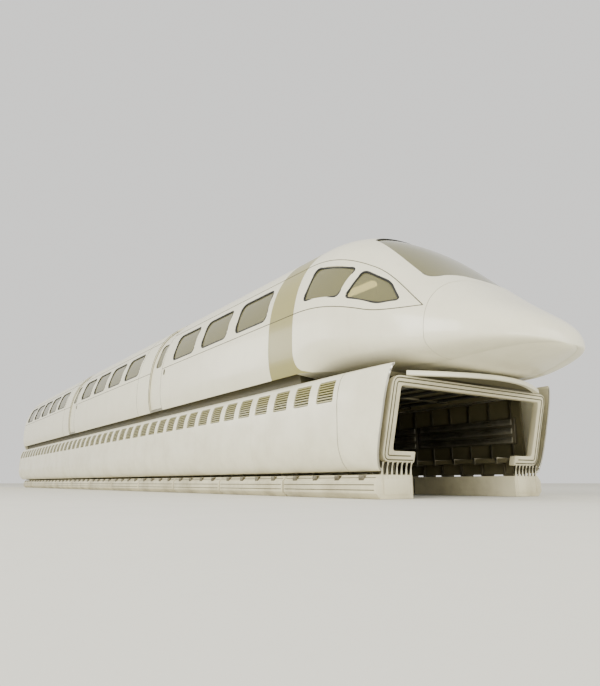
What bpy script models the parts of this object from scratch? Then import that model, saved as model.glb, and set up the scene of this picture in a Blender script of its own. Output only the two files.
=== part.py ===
"""Lead car of a magnetic-levitation train, which wraps round a beam guideway and has no wheels.

Metres. +X runs forwards to the nose, +Y to the car's left, +Z up. The origin is on the floor under the
middle of the car, which stands on the undersides of its support magnets.
"""

import math

import bmesh
import bpy
from mathutils import Vector

# Overall size
LENGTH = 25.6
WIDTH = 3.70
HEIGHT = 4.20
X_TIP = LENGTH / 2
X_TAIL = -LENGTH / 2
FIT_GAP = 0.0003

# Upper body
BODY_HALF_WIDTH = 1.80
WAIST_HEIGHT = 1.80
BODY_HEIGHT = HEIGHT - WAIST_HEIGHT
SHOULDER_SHARE = 0.208
ROUNDNESS = 2.4
SILL_SPAN = 0.25
WALL_THICKNESS = 0.06
ROOF_EDGE_HEIGHT = 3.92

# Nose
NOSE_LENGTH = 3.40
X_NOSE = X_TIP - NOSE_LENGTH
NOSE_TIP_HEIGHT = 0.55
NOSE_DROOP = 1.35
PLAN_POWER = 2.6
TIP_POWER = 10
WAIST_ROLL = 0.045
NOSE_ROLL = 0.35
CAB_WALL = 0.05
NOSE_SEAM = 0.008
X_COWL = X_NOSE + 0.69 * NOSE_LENGTH
PAN_DEPTH = 0.10
PAN_GAP = 0.008
PAN_THICKNESS = 0.03

# Stripe, windows and doors, from the nose to the tail
STRIPE_WIDTH = 0.70
X_STRIPE = X_NOSE - STRIPE_WIDTH
WINDOW_WIDTH = 1.10
WINDOW_PITCH = 1.45
WINDOW_BOTTOM = 2.84
WINDOW_TOP = 3.42
WINDOW_CORNER = 0.14
GLASS_LAP = 0.06
GLASS_BOTTOM = WINDOW_BOTTOM - GLASS_LAP
GLASS_TOP = WINDOW_TOP + GLASS_LAP
GLASS_THICKNESS = 0.008
DOOR_OPENING = 0.74
DOOR_MARGIN = 0.006
DOOR_LAP = 0.03
DOOR_THICKNESS = 0.04
DOOR_DEPTH = 0.04
DOOR_BOTTOM = 1.85
DOOR_TOP_GAP = 0.0035
POCKET_LENGTH = 0.82
POCKET_SKIN = 0.03
POCKET_INNER = 0.09
POCKET_DEPTH = 0.115
FIRST_WINDOW_GAP = 0.15
BEFORE_DOOR = 0.55
AFTER_POCKET = 0.12
WINDOW_GROUPS = (3, 4, 5)

# Floor, underframe and guideway channel
FLOOR_BOTTOM = 1.86
FLOOR_TOP = 1.94
FLOOR_HALF_WIDTH = 1.60
FRAME_HALF_WIDTH = 1.58
CHANNEL_TOP = 1.52
SKID_BOTTOM = 1.44
NOSE_DECK_TOP = 1.585
CHANNEL_HALF_WIDTH = 1.48
ARM_TIP = 1.04
ARM_TOP = 0.58
ARM_BOTTOM = 0.48
MAGNET_TOP = 0.30
X_CHANNEL = X_TIP - 1.40

# Skirts
SKIRT_HALF_WIDTH = WIDTH / 2
SKIRT_TOP = 1.66
SKIRT_BOTTOM = 0.34
SKIRT_TOP_HALF_WIDTH = 1.64
SKIRT_FOOT_HALF_WIDTH = 1.60
SKIRT_THICKNESS = 0.04
SKIRT_ROOT = 1.60
END_CAP_LENGTH = 0.85
CHANNEL_RAKE = 0.25

# Magnets
MAGNET_COUNT = 11
MAGNET_PITCH = 2.15
MAGNET_SETBACK = 0.30
MAGNET_SEAM = 0.04

# Tail and cabin
END_WALL_THICKNESS = 0.04
X_END_WALL = X_TAIL + 0.06
X_BODY_TAIL = X_END_WALL + END_WALL_THICKNESS + FIT_GAP
GANGWAY_HALF_WIDTH = 0.45
GANGWAY_TOP = 3.86
SEAT_PITCH = 0.97
SEAT_RAIL_HEIGHT = 0.015
SEAT_INNER = 0.52
SEAT_OUTER = 1.48
DOOR_WINDOW_HALF_WIDTH = 0.17
DOOR_WINDOW_CORNER = 0.09
CAB_WINDOW_CORNER = 0.09
X_BULKHEAD = X_STRIPE + 0.30

SIDES = (("right", -1), ("left", 1))

PAINT = {
    "cream": ((0.86, 0.83, 0.74), 0.35, 0.0),
    "khaki": ((0.55, 0.49, 0.27), 0.4, 0.0),
    "glass": ((0.20, 0.20, 0.13), 0.08, 0.0),
    "dark": ((0.16, 0.14, 0.08), 0.6, 0.0),
    "metal": ((0.45, 0.43, 0.33), 0.45, 0.8),
    "seat": ((0.42, 0.37, 0.20), 0.9, 0.0),
    "lining": ((0.72, 0.69, 0.58), 0.6, 0.0),
    "rubber": ((0.07, 0.07, 0.06), 0.8, 0.0),
}


# ---------------------------------------------------------------- scene

def clear_scene():
    for old in list(bpy.data.objects):
        bpy.data.objects.remove(old, do_unlink=True)


def new_collection(name):
    collection = bpy.data.collections.new(name)
    bpy.context.scene.collection.children.link(collection)
    return collection


def painted(paint):
    made = bpy.data.materials.get(paint)
    if made:
        return made
    colour, roughness, metallic = PAINT[paint]
    made = bpy.data.materials.new(paint)
    made.use_nodes = True
    shader = made.node_tree.nodes["Principled BSDF"]
    shader.inputs["Base Color"].default_value = (*colour, 1)
    shader.inputs["Roughness"].default_value = roughness
    shader.inputs["Metallic"].default_value = metallic
    return made


def add_object(name, bm, collection, paint=None):
    mesh = bpy.data.meshes.new(name)
    bm.to_mesh(mesh)
    bm.free()
    obj = bpy.data.objects.new(name, mesh)
    collection.objects.link(obj)
    if paint:
        mesh.materials.append(painted(paint))
        mesh.shade_smooth()
        mesh.set_sharp_from_angle(angle=math.radians(35))
    return obj


clear_scene()
CAR = new_collection("maglev_lead_car")
CUTTERS = new_collection("cutters")


# ---------------------------------------------------------------- outer surface

def smooth_step(share):
    share = min(1.0, max(0.0, share))
    return share * share * (3 - 2 * share)


def nose_share(x):
    """How far x is along the nose: 0 at its root, 1 at its tip."""
    return min(1.0, max(0.0, (x - X_NOSE) / NOSE_LENGTH))


def tip_rounding(t):
    return math.sqrt(1 - t**TIP_POWER)


def half_width(t):
    return BODY_HALF_WIDTH * math.sqrt(1 - t**PLAN_POWER)


def sill_height(t):
    """Height of the upper body's lower edge, which dips and rises again along the nose."""
    return WAIST_HEIGHT - 0.10 * smooth_step(t / 0.6) + 0.14 * smooth_step((t - 0.6) / 0.4)


def arch_height(t):
    droop = 1 - smooth_step(t**NOSE_DROOP)
    return (NOSE_TIP_HEIGHT + (BODY_HEIGHT - NOSE_TIP_HEIGHT) * droop) * tip_rounding(t)


def roll_share(t):
    """How far the lower edge rolls inwards, as a share of the half width."""
    return WAIST_ROLL + (NOSE_ROLL - WAIST_ROLL) * smooth_step(t / 0.35)


def sill_turn(t):
    """How far the side turns under at its lower edge: a little along the body, level at the nose."""
    return math.radians(60 + 30 * smooth_step(t / 0.35))


def skin_point(x, u):
    """A point of the outer surface. u is 0 along the crown, 1 at the widest line and 1.25 at the sill."""
    t = nose_share(x)
    side = math.copysign(1, u)
    wide = half_width(t)
    arch = arch_height(t)
    shoulder = sill_height(t) + SHOULDER_SHARE * arch
    if abs(u) <= 1:
        angle = (1 - abs(u)) * math.pi / 2
        y = wide * math.cos(angle) ** (2 / ROUNDNESS)
        z = shoulder + (1 - SHOULDER_SHARE) * arch * math.sin(angle) ** (2 / ROUNDNESS)
    else:
        most = sill_turn(t)
        angle = (abs(u) - 1) / SILL_SPAN * most
        y = wide * (1 - roll_share(t) * (1 - math.cos(angle)) / (1 - math.cos(most)))
        z = shoulder - SHOULDER_SHARE * arch * math.sin(angle) / math.sin(most)
    return Vector((x, side * y, z))


def skin_normal(x, u):
    step = 0.002
    if x > X_TIP - step:
        return Vector((1, 0, 0))
    x = min(x, X_TIP - 2 * step)
    along = skin_point(x + step, u) - skin_point(x - step, u)
    around = skin_point(x, u + step) - skin_point(x, u - step)
    if abs(u) < step:
        around = Vector((0, 1, 0))
    return along.cross(around).normalized()


def offset_point(x, u, depth):
    return skin_point(x, u) - skin_normal(x, u) * depth


def level(height):
    """The u of the line that runs at this height along the straight body, and droops with the nose."""
    shoulder = WAIST_HEIGHT + SHOULDER_SHARE * BODY_HEIGHT
    if height < shoulder:
        drop = min(1.0, (shoulder - height) / (shoulder - WAIST_HEIGHT))
        return 1 + SILL_SPAN * math.asin(drop * math.sin(sill_turn(0))) / sill_turn(0)
    rise = (height - shoulder) / (HEIGHT - shoulder)
    return 1 - math.asin(rise ** (ROUNDNESS / 2)) * 2 / math.pi


SILL = 1 + SILL_SPAN
ROOF_EDGE = level(ROOF_EDGE_HEIGHT)
ROOF_GAP = 0.0008


def steps(first, last, count):
    return [first + (last - first) * i / count for i in range(count + 1)]


# ---------------------------------------------------------------- shapes

def shell(name, outer, inner, paint, collection=CAR):
    """A panel between two matching grids of points, so that panels that share a seam meet on one plane."""
    bm = bmesh.new()
    outer = [[bm.verts.new(point) for point in row] for row in outer]
    inner = [[bm.verts.new(point) for point in row] for row in inner]
    rows, columns = len(outer), len(outer[0])
    for grid in (outer, inner):
        for i in range(rows - 1):
            for j in range(columns - 1):
                bm.faces.new((grid[i][j], grid[i + 1][j], grid[i + 1][j + 1], grid[i][j + 1]))
    rim = [(i, 0) for i in range(rows)] + [(rows - 1, j) for j in range(1, columns)]
    rim += [(i, columns - 1) for i in range(rows - 2, -1, -1)] + [(0, j) for j in range(columns - 2, 0, -1)]
    for (i, j), (k, m) in zip(rim, rim[1:] + rim[:1]):
        bm.faces.new((outer[i][j], outer[k][m], inner[k][m], inner[i][j]))
    bmesh.ops.remove_doubles(bm, verts=bm.verts, dist=1e-5)
    bmesh.ops.recalc_face_normals(bm, faces=bm.faces)
    return add_object(name, bm, collection, paint)


def body_panel(name, xs, us, depth, thickness, paint, collection=CAR):
    """A curved panel of the upper body between two depths under its outer surface."""
    outer = [[offset_point(x, u, depth) for u in us] for x in xs]
    inner = [[offset_point(x, u, depth + thickness) for u in us] for x in xs]
    return shell(name, outer, inner, paint, collection)


def lofted(name, rings, paint, collection=CAR):
    """A solid through closed rings with the same number of points each, capped at both ends."""
    bm = bmesh.new()
    loops = [[bm.verts.new(point) for point in ring] for ring in rings]
    for near, far in zip(loops, loops[1:]):
        for i in range(len(near)):
            j = (i + 1) % len(near)
            bm.faces.new((near[i], near[j], far[j], far[i]))
    bm.faces.new(loops[0])
    bm.faces.new(loops[-1])
    bmesh.ops.recalc_face_normals(bm, faces=bm.faces)
    return add_object(name, bm, collection, paint)


def along_x(outline, x):
    return [Vector((x, y, z)) for y, z in outline]


def along_y(outline, y):
    return [Vector((x, y, z)) for x, z in outline]


def along_z(outline, z):
    return [Vector((x, y, z)) for x, y in outline]


def add_box(name, low, high, paint=None, collection=CAR):
    bm = bmesh.new()
    bmesh.ops.create_cube(bm, size=1)
    low, high = Vector(low), Vector(high)
    for vert in bm.verts:
        vert.co = Vector([(low[k] + high[k]) / 2 + vert.co[k] * (high[k] - low[k]) for k in range(3)])
    return add_object(name, bm, collection, paint)


def rounded(corners, radius, count=3):
    """The corners of a flat outline, each replaced by a short curve."""
    outline = []
    for i, corner in enumerate(corners):
        corner = Vector(corner)
        before = Vector(corners[i - 1]) - corner
        after = Vector(corners[(i + 1) % len(corners)]) - corner
        start = corner + before.normalized() * min(radius, before.length * 0.45)
        end = corner + after.normalized() * min(radius, after.length * 0.45)
        for k in range(count + 1):
            s = k / count
            outline.append(tuple(start * (1 - s) ** 2 + corner * 2 * s * (1 - s) + end * s * s))
    return outline


def boolean(obj, cutter, operation="DIFFERENCE"):
    cutter.hide_render = True
    cutter.display_type = "WIRE"
    step = obj.modifiers.new(cutter.name, "BOOLEAN")
    step.operation = operation
    step.object = cutter
    step.solver = "EXACT"


def skin_cutter(name, outlines, outward, inward):
    """Cuts openings, given by outlines in x and u, straight through the outer skin."""
    bm = bmesh.new()
    for outline in outlines:
        outer = [bm.verts.new(offset_point(x, u, -outward)) for x, u in outline]
        inner = [bm.verts.new(offset_point(x, u, inward)) for x, u in outline]
        for i in range(len(outline)):
            j = (i + 1) % len(outline)
            bm.faces.new((outer[i], outer[j], inner[j], inner[i]))
        bm.faces.new(outer)
        bm.faces.new(inner)
    bmesh.ops.recalc_face_normals(bm, faces=bm.faces)
    return add_object(name, bm, CUTTERS)


def side_outline(corners, side, radius):
    """A rounded opening in the side, from corners in x and height."""
    return [(x, side * level(z)) for x, z in rounded(corners, radius)]


# ---------------------------------------------------------------- layout of windows and doors

def layout():
    """Centres of the windows by group, and the front edges of the doorways."""
    groups, doorways = [], []
    front = X_STRIPE - FIRST_WINDOW_GAP
    for number, count in enumerate(WINDOW_GROUPS):
        first = front - WINDOW_WIDTH / 2
        groups.append([first - WINDOW_PITCH * i for i in range(count)])
        doorway = groups[-1][-1] - WINDOW_WIDTH / 2 - BEFORE_DOOR
        if number < len(WINDOW_GROUPS) - 1:
            doorways.append(doorway)
        front = doorway - DOOR_OPENING - POCKET_LENGTH - AFTER_POCKET
    return groups, doorways


WINDOWS, DOORWAYS = layout()


def pocket_end(doorway):
    return doorway - DOOR_OPENING - POCKET_LENGTH


def wall_spans():
    """Front and back ends of the three stretches of side wall."""
    fronts = [X_STRIPE] + [pocket_end(d) for d in DOORWAYS]
    backs = list(DOORWAYS) + [X_BODY_TAIL]
    return list(zip(fronts, backs))


# ---------------------------------------------------------------- upper body

GLASS_LEVELS = steps(level(GLASS_BOTTOM), level(GLASS_TOP), 4)
WALL_LEVELS = (
    steps(SILL, 1, 3)
    + steps(1, GLASS_LEVELS[0], 2)[1:-1]
    + GLASS_LEVELS
    + steps(GLASS_LEVELS[-1], ROOF_EDGE, 3)[1:]
)


def sided(levels, side):
    """Levels on one side of the car, ordered so that the panel faces outwards."""
    return sorted(side * u for u in levels)


RING_LEVELS = sided(WALL_LEVELS, -1) + steps(-ROOF_EDGE, ROOF_EDGE, 12)[1:-1] + sided(WALL_LEVELS, 1)


def add_side_walls():
    names = ("front", "middle", "rear")
    for side_name, side in SIDES:
        for name, (front, back), centres in zip(names, wall_spans(), WINDOWS):
            wall = body_panel(
                f"side_wall_{name}_{side_name}",
                [back + FIT_GAP, front - FIT_GAP],
                sided(WALL_LEVELS, side),
                0,
                WALL_THICKNESS,
                "cream",
            )
            half = WINDOW_WIDTH / 2
            outlines = []
            for x in centres:
                corners = [
                    (x - half, WINDOW_BOTTOM),
                    (x + half, WINDOW_BOTTOM),
                    (x + half, WINDOW_TOP),
                    (x - half, WINDOW_TOP),
                ]
                outlines.append(side_outline(corners, side, WINDOW_CORNER))
            cutter_name = f"cut_windows_{name}_{side_name}"
            boolean(wall, skin_cutter(cutter_name, outlines, 0.1, 0.15))
            add_window_glass(f"window_glass_{name}_{side_name}", centres, side)


def add_window_glass(name, centres, side):
    back = centres[-1] - WINDOW_WIDTH / 2 - GLASS_LAP
    front = centres[0] + WINDOW_WIDTH / 2 + GLASS_LAP
    depth = WALL_THICKNESS + FIT_GAP
    body_panel(name, [back, front], sided(GLASS_LEVELS, side), depth, GLASS_THICKNESS, "glass")


def add_roof():
    us = steps(-ROOF_EDGE + ROOF_GAP, ROOF_EDGE - ROOF_GAP, 12)
    body_panel("roof", [X_BODY_TAIL, X_STRIPE - FIT_GAP], us, 0, WALL_THICKNESS, "cream")


def add_stripe_band():
    xs = [X_STRIPE, X_NOSE - FIT_GAP]
    body_panel("stripe_band", xs, RING_LEVELS, 0, WALL_THICKNESS, "khaki")


# ---------------------------------------------------------------- doors

def door_levels(side):
    low, high = level(DOOR_BOTTOM), ROOF_EDGE + DOOR_TOP_GAP
    return sided([low] + [u for u in WALL_LEVELS if high < u < low] + [high], side)


def add_door(name, doorway, side):
    front = doorway - DOOR_MARGIN
    back = doorway - DOOR_OPENING - DOOR_LAP
    leaf = body_panel(
        name, [back, front], door_levels(side), DOOR_DEPTH, DOOR_THICKNESS, "cream"
    )
    middle = doorway - DOOR_OPENING / 2
    half = DOOR_WINDOW_HALF_WIDTH
    corners = [
        (middle - half, WINDOW_BOTTOM),
        (middle + half, WINDOW_BOTTOM),
        (middle + half, WINDOW_TOP),
        (middle - half, WINDOW_TOP),
    ]
    outline = side_outline(corners, side, DOOR_WINDOW_CORNER)
    boolean(leaf, skin_cutter("cut_" + name, [outline], 0.05, 0.2))
    lap = 0.012
    pane = body_panel(
        name.replace("door_", "door_glass_"),
        [middle - half + FIT_GAP * 3, middle + half - FIT_GAP * 3],
        sided(steps(level(WINDOW_BOTTOM), level(WINDOW_TOP), 3), side),
        DOOR_DEPTH + lap,
        GLASS_THICKNESS,
        "glass",
    )
    inset = 0.0006
    smaller = [(x + inset * (1 if x < middle else -1), z) for x, z in corners]
    smaller = [(x, z + inset * (1 if z < 3 else -1)) for x, z in smaller]
    pane_outline = side_outline(smaller, side, DOOR_WINDOW_CORNER)
    boolean(pane, skin_cutter("trim_" + name, [pane_outline], 0.04, 0.19), "INTERSECT")


def add_door_pocket(name, doorway, side):
    """A blank panel with a slot behind its skin, closed at the back, that the door slides into."""
    front = doorway - DOOR_OPENING - FIT_GAP
    back = pocket_end(doorway) + FIT_GAP
    pocket = body_panel(
        name, [back, front], sided(WALL_LEVELS, side), 0, POCKET_DEPTH, "cream"
    )
    web = 0.03
    beyond = 0.1
    us = sided(WALL_LEVELS + [ROOF_EDGE - 0.06], side)
    sill = 0 if side < 0 else -1
    grids = []
    for depth in (POCKET_SKIN, POCKET_INNER):
        rows = [[offset_point(x, u, depth) for u in us] for x in (back + web, front + beyond)]
        for row in rows:
            inwards = row[sill] - Vector((0, side * beyond / 2, beyond))
            row.insert(0 if side < 0 else len(row), inwards)
        grids.append(rows)
    boolean(pocket, shell("cut_" + name, grids[0], grids[1], None, CUTTERS))


def add_doors():
    for side_name, side in SIDES:
        for door_name, doorway in zip(("front", "rear"), DOORWAYS):
            add_door(f"door_{door_name}_{side_name}", doorway, side)
            add_door_pocket(f"door_pocket_{door_name}_{side_name}", doorway, side)


# ---------------------------------------------------------------- nose and cab

CAB_XS = steps(X_NOSE, X_COWL - NOSE_SEAM, 10)
COWL_XS = [X_COWL + (X_TIP - X_COWL) * math.sin(math.radians(a)) for a in steps(0, 90, 7)]


def cab_pane_corners():
    """The two panes on each side of the cab, as corners in x and height."""
    rear = [(9.62, 2.90), (10.42, 2.90), (10.62, 3.44), (9.74, 3.44)]
    front = [(10.56, 2.90), (11.12, 2.90), (11.42, 3.10), (11.22, 3.40), (10.76, 3.44)]
    return rear, front


WINDSHIELD_TOP = X_NOSE + 0.86
WINDSHIELD_FOOT = X_NOSE + 2.16
WINDSHIELD_CORNERS = [
    (WINDSHIELD_TOP, -0.27),
    (WINDSHIELD_FOOT, -0.45),
    (WINDSHIELD_FOOT + 0.10, 0.0),
    (WINDSHIELD_FOOT, 0.45),
    (WINDSHIELD_TOP, 0.27),
    (WINDSHIELD_TOP - 0.04, 0.0),
]


def add_cab():
    cab = body_panel("cab_shell", CAB_XS, RING_LEVELS, 0, CAB_WALL, "cream")
    outlines = []
    for _, side in SIDES:
        for corners in cab_pane_corners():
            outlines.append(side_outline(corners, side, CAB_WINDOW_CORNER))
    boolean(cab, skin_cutter("cut_cab_windows", outlines, 0.12, 0.12))
    shield = rounded(WINDSHIELD_CORNERS, 0.12)
    boolean(cab, skin_cutter("cut_windshield", [shield], 0.6, 0.12))
    glass_gap = 0.003
    glass_us = [u for u in RING_LEVELS if abs(u) < 0.62]
    glass = body_panel("windshield", CAB_XS[3:], glass_us, CAB_WALL + glass_gap, 0.012, "glass")
    lapped = [(x + 0.05 * (1 if x > 10.5 else -1), u * 1.12) for x, u in WINDSHIELD_CORNERS]
    trim = skin_cutter("trim_windshield", [rounded(lapped, 0.12)], 0.6, 0.3)
    boolean(glass, trim, "INTERSECT")
    for side_name, side in SIDES:
        xs = [X_NOSE + 0.1] + CAB_XS[1:9] + [CAB_XS[9] - 0.02]
        us = sided(GLASS_LEVELS, side)
        body_panel(f"cab_windows_{side_name}", xs, us, CAB_WALL + glass_gap, 0.010, "glass")


def add_nose_cowl():
    body_panel("nose_cowl", COWL_XS, RING_LEVELS, 0, CAB_WALL, "cream")


def pan_half_width(x):
    """Half the width left between the two lower edges of the nose, inside their thickness."""
    ahead = x + CAB_WALL * nose_share(x) ** 4
    return min(skin_point(x, SILL).y, offset_point(ahead, SILL, CAB_WALL).y) - PAN_GAP


def add_nose_pan():
    """Closes the nose from below, between the edges that roll inwards."""
    outer, inner = [], []
    for x in CAB_XS[:-1] + COWL_XS[:-2] + [X_TIP - 2 * CAB_WALL]:
        half, edge_height = pan_half_width(x), skin_point(x, SILL).z
        sag = PAN_DEPTH * tip_rounding(nose_share(x))
        points = [(s * half, edge_height - sag * (1 - s * s)) for s in steps(-1, 1, 8)]
        outer.append([Vector((x, y, z)) for y, z in points])
        inner.append([Vector((x, y, z + PAN_THICKNESS)) for y, z in points])
    shell("nose_pan", outer, inner, "cream")


def add_cab_inside():
    foot = FLOOR_TOP + FIT_GAP
    desk = [
        (10.72, foot), (11.24, foot), (11.24, 2.62), (10.98, 2.74),
        (10.60, 2.62), (10.60, 2.56), (10.72, 2.50),
    ]
    lofted("driver_desk", [along_y(desk, -0.85), along_y(desk, 0.85)], "dark")
    seat = [
        (9.80, foot), (10.00, foot), (10.00, 2.32), (10.22, 2.32), (10.22, 2.46),
        (9.86, 2.46), (9.72, 3.14), (9.60, 3.14), (9.66, 2.32), (9.80, 2.32),
    ]
    lofted("driver_seat", [along_y(seat, -0.26), along_y(seat, 0.26)], "seat")


# ---------------------------------------------------------------- walls across the car

def cross_outline(x, depth, foot):
    """The inside of the body as a flat outline, closed along the floor."""
    points = [offset_point(x, u, depth) for u in RING_LEVELS]
    points = [(p.y, p.z) for p in points if p.z > foot + 0.02]
    corner = offset_point(x, level(foot), depth + 0.01)
    return [(-corner.y, foot)] + points + [(corner.y, foot)]


def add_cab_bulkhead():
    x = X_BULKHEAD
    outline = cross_outline(x, WALL_THICKNESS + 0.004, FLOOR_TOP + FIT_GAP)
    wall = lofted("cab_bulkhead", [along_x(outline, x), along_x(outline, x + 0.04)], "lining")
    low, high = (x - 0.1, -0.38, FLOOR_TOP + 0.04), (x + 0.2, 0.38, 3.84)
    cut = add_box("cut_cab_bulkhead", low, high, None, CUTTERS)
    boolean(wall, cut)


def add_tail():
    outline = cross_outline(X_END_WALL, 0, CHANNEL_TOP)
    xs = (X_END_WALL, X_END_WALL + END_WALL_THICKNESS)
    wall = lofted("rear_end_wall", [along_x(outline, x) for x in xs], "cream")
    half, top = GANGWAY_HALF_WIDTH, GANGWAY_TOP
    low, high = (X_TAIL - 0.1, -half, FLOOR_TOP), (X_TAIL + 0.3, half, top)
    hole = add_box("cut_gangway", low, high, None, CUTTERS)
    boolean(wall, hole)
    low, high = (X_TAIL, -half - 0.18, FLOOR_TOP - 0.16), (X_END_WALL - FIT_GAP, half + 0.18, top + 0.14)
    bellows = add_box("gangway_bellows", low, high, "rubber")
    boolean(bellows, hole)
    add_gangway_door(X_END_WALL + END_WALL_THICKNESS + DOOR_MARGIN)


def add_gangway_door(back):
    lap, thickness, trim = 0.03, 0.04, 0.0005
    half, top = GANGWAY_HALF_WIDTH + lap, GANGWAY_TOP + lap
    low, high = (back, -half, FLOOR_TOP + 0.01), (back + thickness, half, top)
    door = add_box("gangway_door", low, high, "cream")
    pane_half, pane_low, pane_high = 0.26, 2.70, 3.60
    low, high = (back - 0.1, -pane_half, pane_low), (back + 0.2, pane_half, pane_high)
    boolean(door, add_box("cut_gangway_door", low, high, None, CUTTERS))
    low = (back + 0.016, -pane_half + trim, pane_low + trim)
    high = (back + 0.024, pane_half - trim, pane_high - trim)
    add_box("gangway_door_glass", low, high, "glass")


# ---------------------------------------------------------------- floor and seats

def add_floor():
    tail = X_END_WALL + END_WALL_THICKNESS + FIT_GAP
    step = X_NOSE - 0.05
    half = [(tail, FLOOR_HALF_WIDTH), (step, FLOOR_HALF_WIDTH), (step, 1.30), (11.3, 1.20)]
    outline = [(x, -y) for x, y in half] + half[::-1]
    lofted("cabin_floor", [along_z(outline, FLOOR_BOTTOM), along_z(outline, FLOOR_TOP)], "lining")


def seat_rows():
    """Back ends of the seats, by window group, clear of the doorways."""
    rows = []
    for centres in WINDOWS:
        front = centres[0] + WINDOW_WIDTH / 2 - 0.25
        back = max(centres[-1] - WINDOW_WIDTH / 2, X_TAIL + 1.35)
        count = int((front - back) / SEAT_PITCH)
        rows.append([back + (front - back) * (i + 0.2) / count for i in range(count)])
    return sorted(x for group in rows for x in group)


def add_passenger_seats():
    rail = FLOOR_TOP + FIT_GAP
    top = rail + SEAT_RAIL_HEIGHT
    rows = seat_rows()
    outline = [(rows[0] - 0.1, rail), (rows[0] - 0.1, top)]
    for x in rows:
        outline += [(x + 0.12, top), (x + 0.12, 2.28), (x + 0.04, 2.28), (x - 0.10, 3.06), (x + 0.02, 3.08)]
        outline += [(x + 0.16, 2.42), (x + 0.56, 2.42), (x + 0.56, 2.28), (x + 0.32, 2.28), (x + 0.32, top)]
    outline += [(rows[-1] + 0.7, top), (rows[-1] + 0.7, rail)]
    for side_name, side in SIDES:
        rings = [along_y(outline, side * y) for y in (SEAT_INNER, SEAT_OUTER)]
        lofted(f"passenger_seats_{side_name}", rings, "seat")


# ---------------------------------------------------------------- lower body

def add_underframe():
    def section(top):
        half = [
            (FRAME_HALF_WIDTH, top), (FRAME_HALF_WIDTH, CHANNEL_TOP), (1.12, CHANNEL_TOP),
            (1.10, SKID_BOTTOM), (0.90, SKID_BOTTOM), (0.88, CHANNEL_TOP),
        ]
        return half + [(-y, z) for y, z in reversed(half)]

    main = section(FLOOR_BOTTOM - FIT_GAP)
    deck = section(NOSE_DECK_TOP)
    tail = X_END_WALL + END_WALL_THICKNESS + FIT_GAP
    rings = [along_x(main, tail), along_x(main, X_NOSE - 0.12)]
    rings += [along_x(deck, X_NOSE - 0.04), along_x(deck, X_CHANNEL - 0.16)]
    lofted("underframe", rings, "dark")


def skirt_profile(count=6):
    """Outer line of the skirt on the left side, from the waist down to its foot."""
    shoulder, foot = 1.16, 0.80
    points = []
    for a in steps(0, math.pi / 2, count):
        y = SKIRT_TOP_HALF_WIDTH + (SKIRT_HALF_WIDTH - SKIRT_TOP_HALF_WIDTH) * math.sin(a)
        points.append((y, shoulder + (SKIRT_TOP - shoulder) * math.cos(a)))
    for a in steps(0, math.pi / 2, count):
        y = SKIRT_FOOT_HALF_WIDTH + (SKIRT_HALF_WIDTH - SKIRT_FOOT_HALF_WIDTH) * math.cos(a)
        points.append((y, foot - (foot - SKIRT_BOTTOM) * math.sin(a)))
    return points


def skirt_rows(xs, shares, side, depth):
    """Lines of skirt points. The shares grow from 0 to 1 towards the rounded front end."""
    profile = [Vector(point) for point in skirt_profile()]
    rows = []
    for x, share in zip(xs, shares):
        squeeze = math.sqrt(1 - 0.80 * share**2.2)
        row = []
        for k, point in enumerate(profile):
            before, after = profile[max(k - 1, 0)], profile[min(k + 1, len(profile) - 1)]
            run = (after - before).normalized()
            inward = Vector((run.y, -run.x)) * depth
            y = SKIRT_ROOT + (point.x - SKIRT_ROOT) * squeeze + inward.x
            z = point.y + inward.y
            row.append(Vector((x - CHANNEL_RAKE * share * (CHANNEL_TOP - z), side * y, z)))
        rows.append(row)
    return rows


def skirt_panel(name, xs, shares, side):
    outer, inner = (skirt_rows(xs, shares, side, depth) for depth in (0, SKIRT_THICKNESS))
    shell(name, outer, inner, "cream")


def add_skirts():
    seam = X_CHANNEL - END_CAP_LENGTH
    for side_name, side in SIDES:
        skirt_panel(f"skirt_{side_name}", [X_BODY_TAIL, seam - FIT_GAP], [0, 0], side)
        shares = steps(0, 1, 6)
        xs = [seam + END_CAP_LENGTH * share for share in shares]
        skirt_panel(f"skirt_end_cap_{side_name}", xs, shares, side)


def rake_forward(obj):
    """Leans the front end of the channel back towards its foot."""
    for vert in obj.data.vertices:
        vert.co.x -= CHANNEL_RAKE * (CHANNEL_TOP - vert.co.z)


def add_channel_mouth():
    outer = [(ARM_TIP, 0.45), (1.60, 0.45), (1.60, 1.5197)]
    inner = [(1.44, 1.40), (1.44, 0.59), (ARM_TIP, 0.59)]
    path = outer + [(-y, z) for y, z in reversed(outer)]
    path += [(-y, z) for y, z in reversed(inner)] + inner
    frame = lofted("channel_mouth", [along_x(path, X_CHANNEL - 0.11), along_x(path, X_CHANNEL)], "metal")
    rake_forward(frame)


def add_levitation_frames():
    top, foot = CHANNEL_TOP - FIT_GAP, MAGNET_TOP + FIT_GAP
    outline = [
        (1.56, top), (1.56, 0.44), (1.50, foot), (1.22, foot), (1.22, ARM_BOTTOM),
        (ARM_TIP, ARM_BOTTOM), (ARM_TIP, ARM_TOP), (CHANNEL_HALF_WIDTH, ARM_TOP), (CHANNEL_HALF_WIDTH, top),
    ]
    for side_name, side in SIDES:
        mirrored = [(side * y, z) for y, z in outline]
        rings = [along_x(mirrored, X_BODY_TAIL), along_x(mirrored, X_CHANNEL - 0.42)]
        lofted(f"levitation_frame_{side_name}", rings, "dark")


def magnet_row(name, box, core, front, side, paint):
    """Magnet boxes in a row, joined by the rail that carries them."""
    rings = []
    for i in range(MAGNET_COUNT):
        start = front - MAGNET_PITCH * i
        end = start - MAGNET_PITCH + MAGNET_SEAM
        rings += [along_x(box, start), along_x(box, end)]
        if i < MAGNET_COUNT - 1:
            rings += [along_x(core, end - 0.004), along_x(core, end - MAGNET_SEAM + 0.004)]
    rings = [[Vector((p.x, side * p.y, p.z)) for p in ring] for ring in rings]
    lofted(name, rings, paint)


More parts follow.
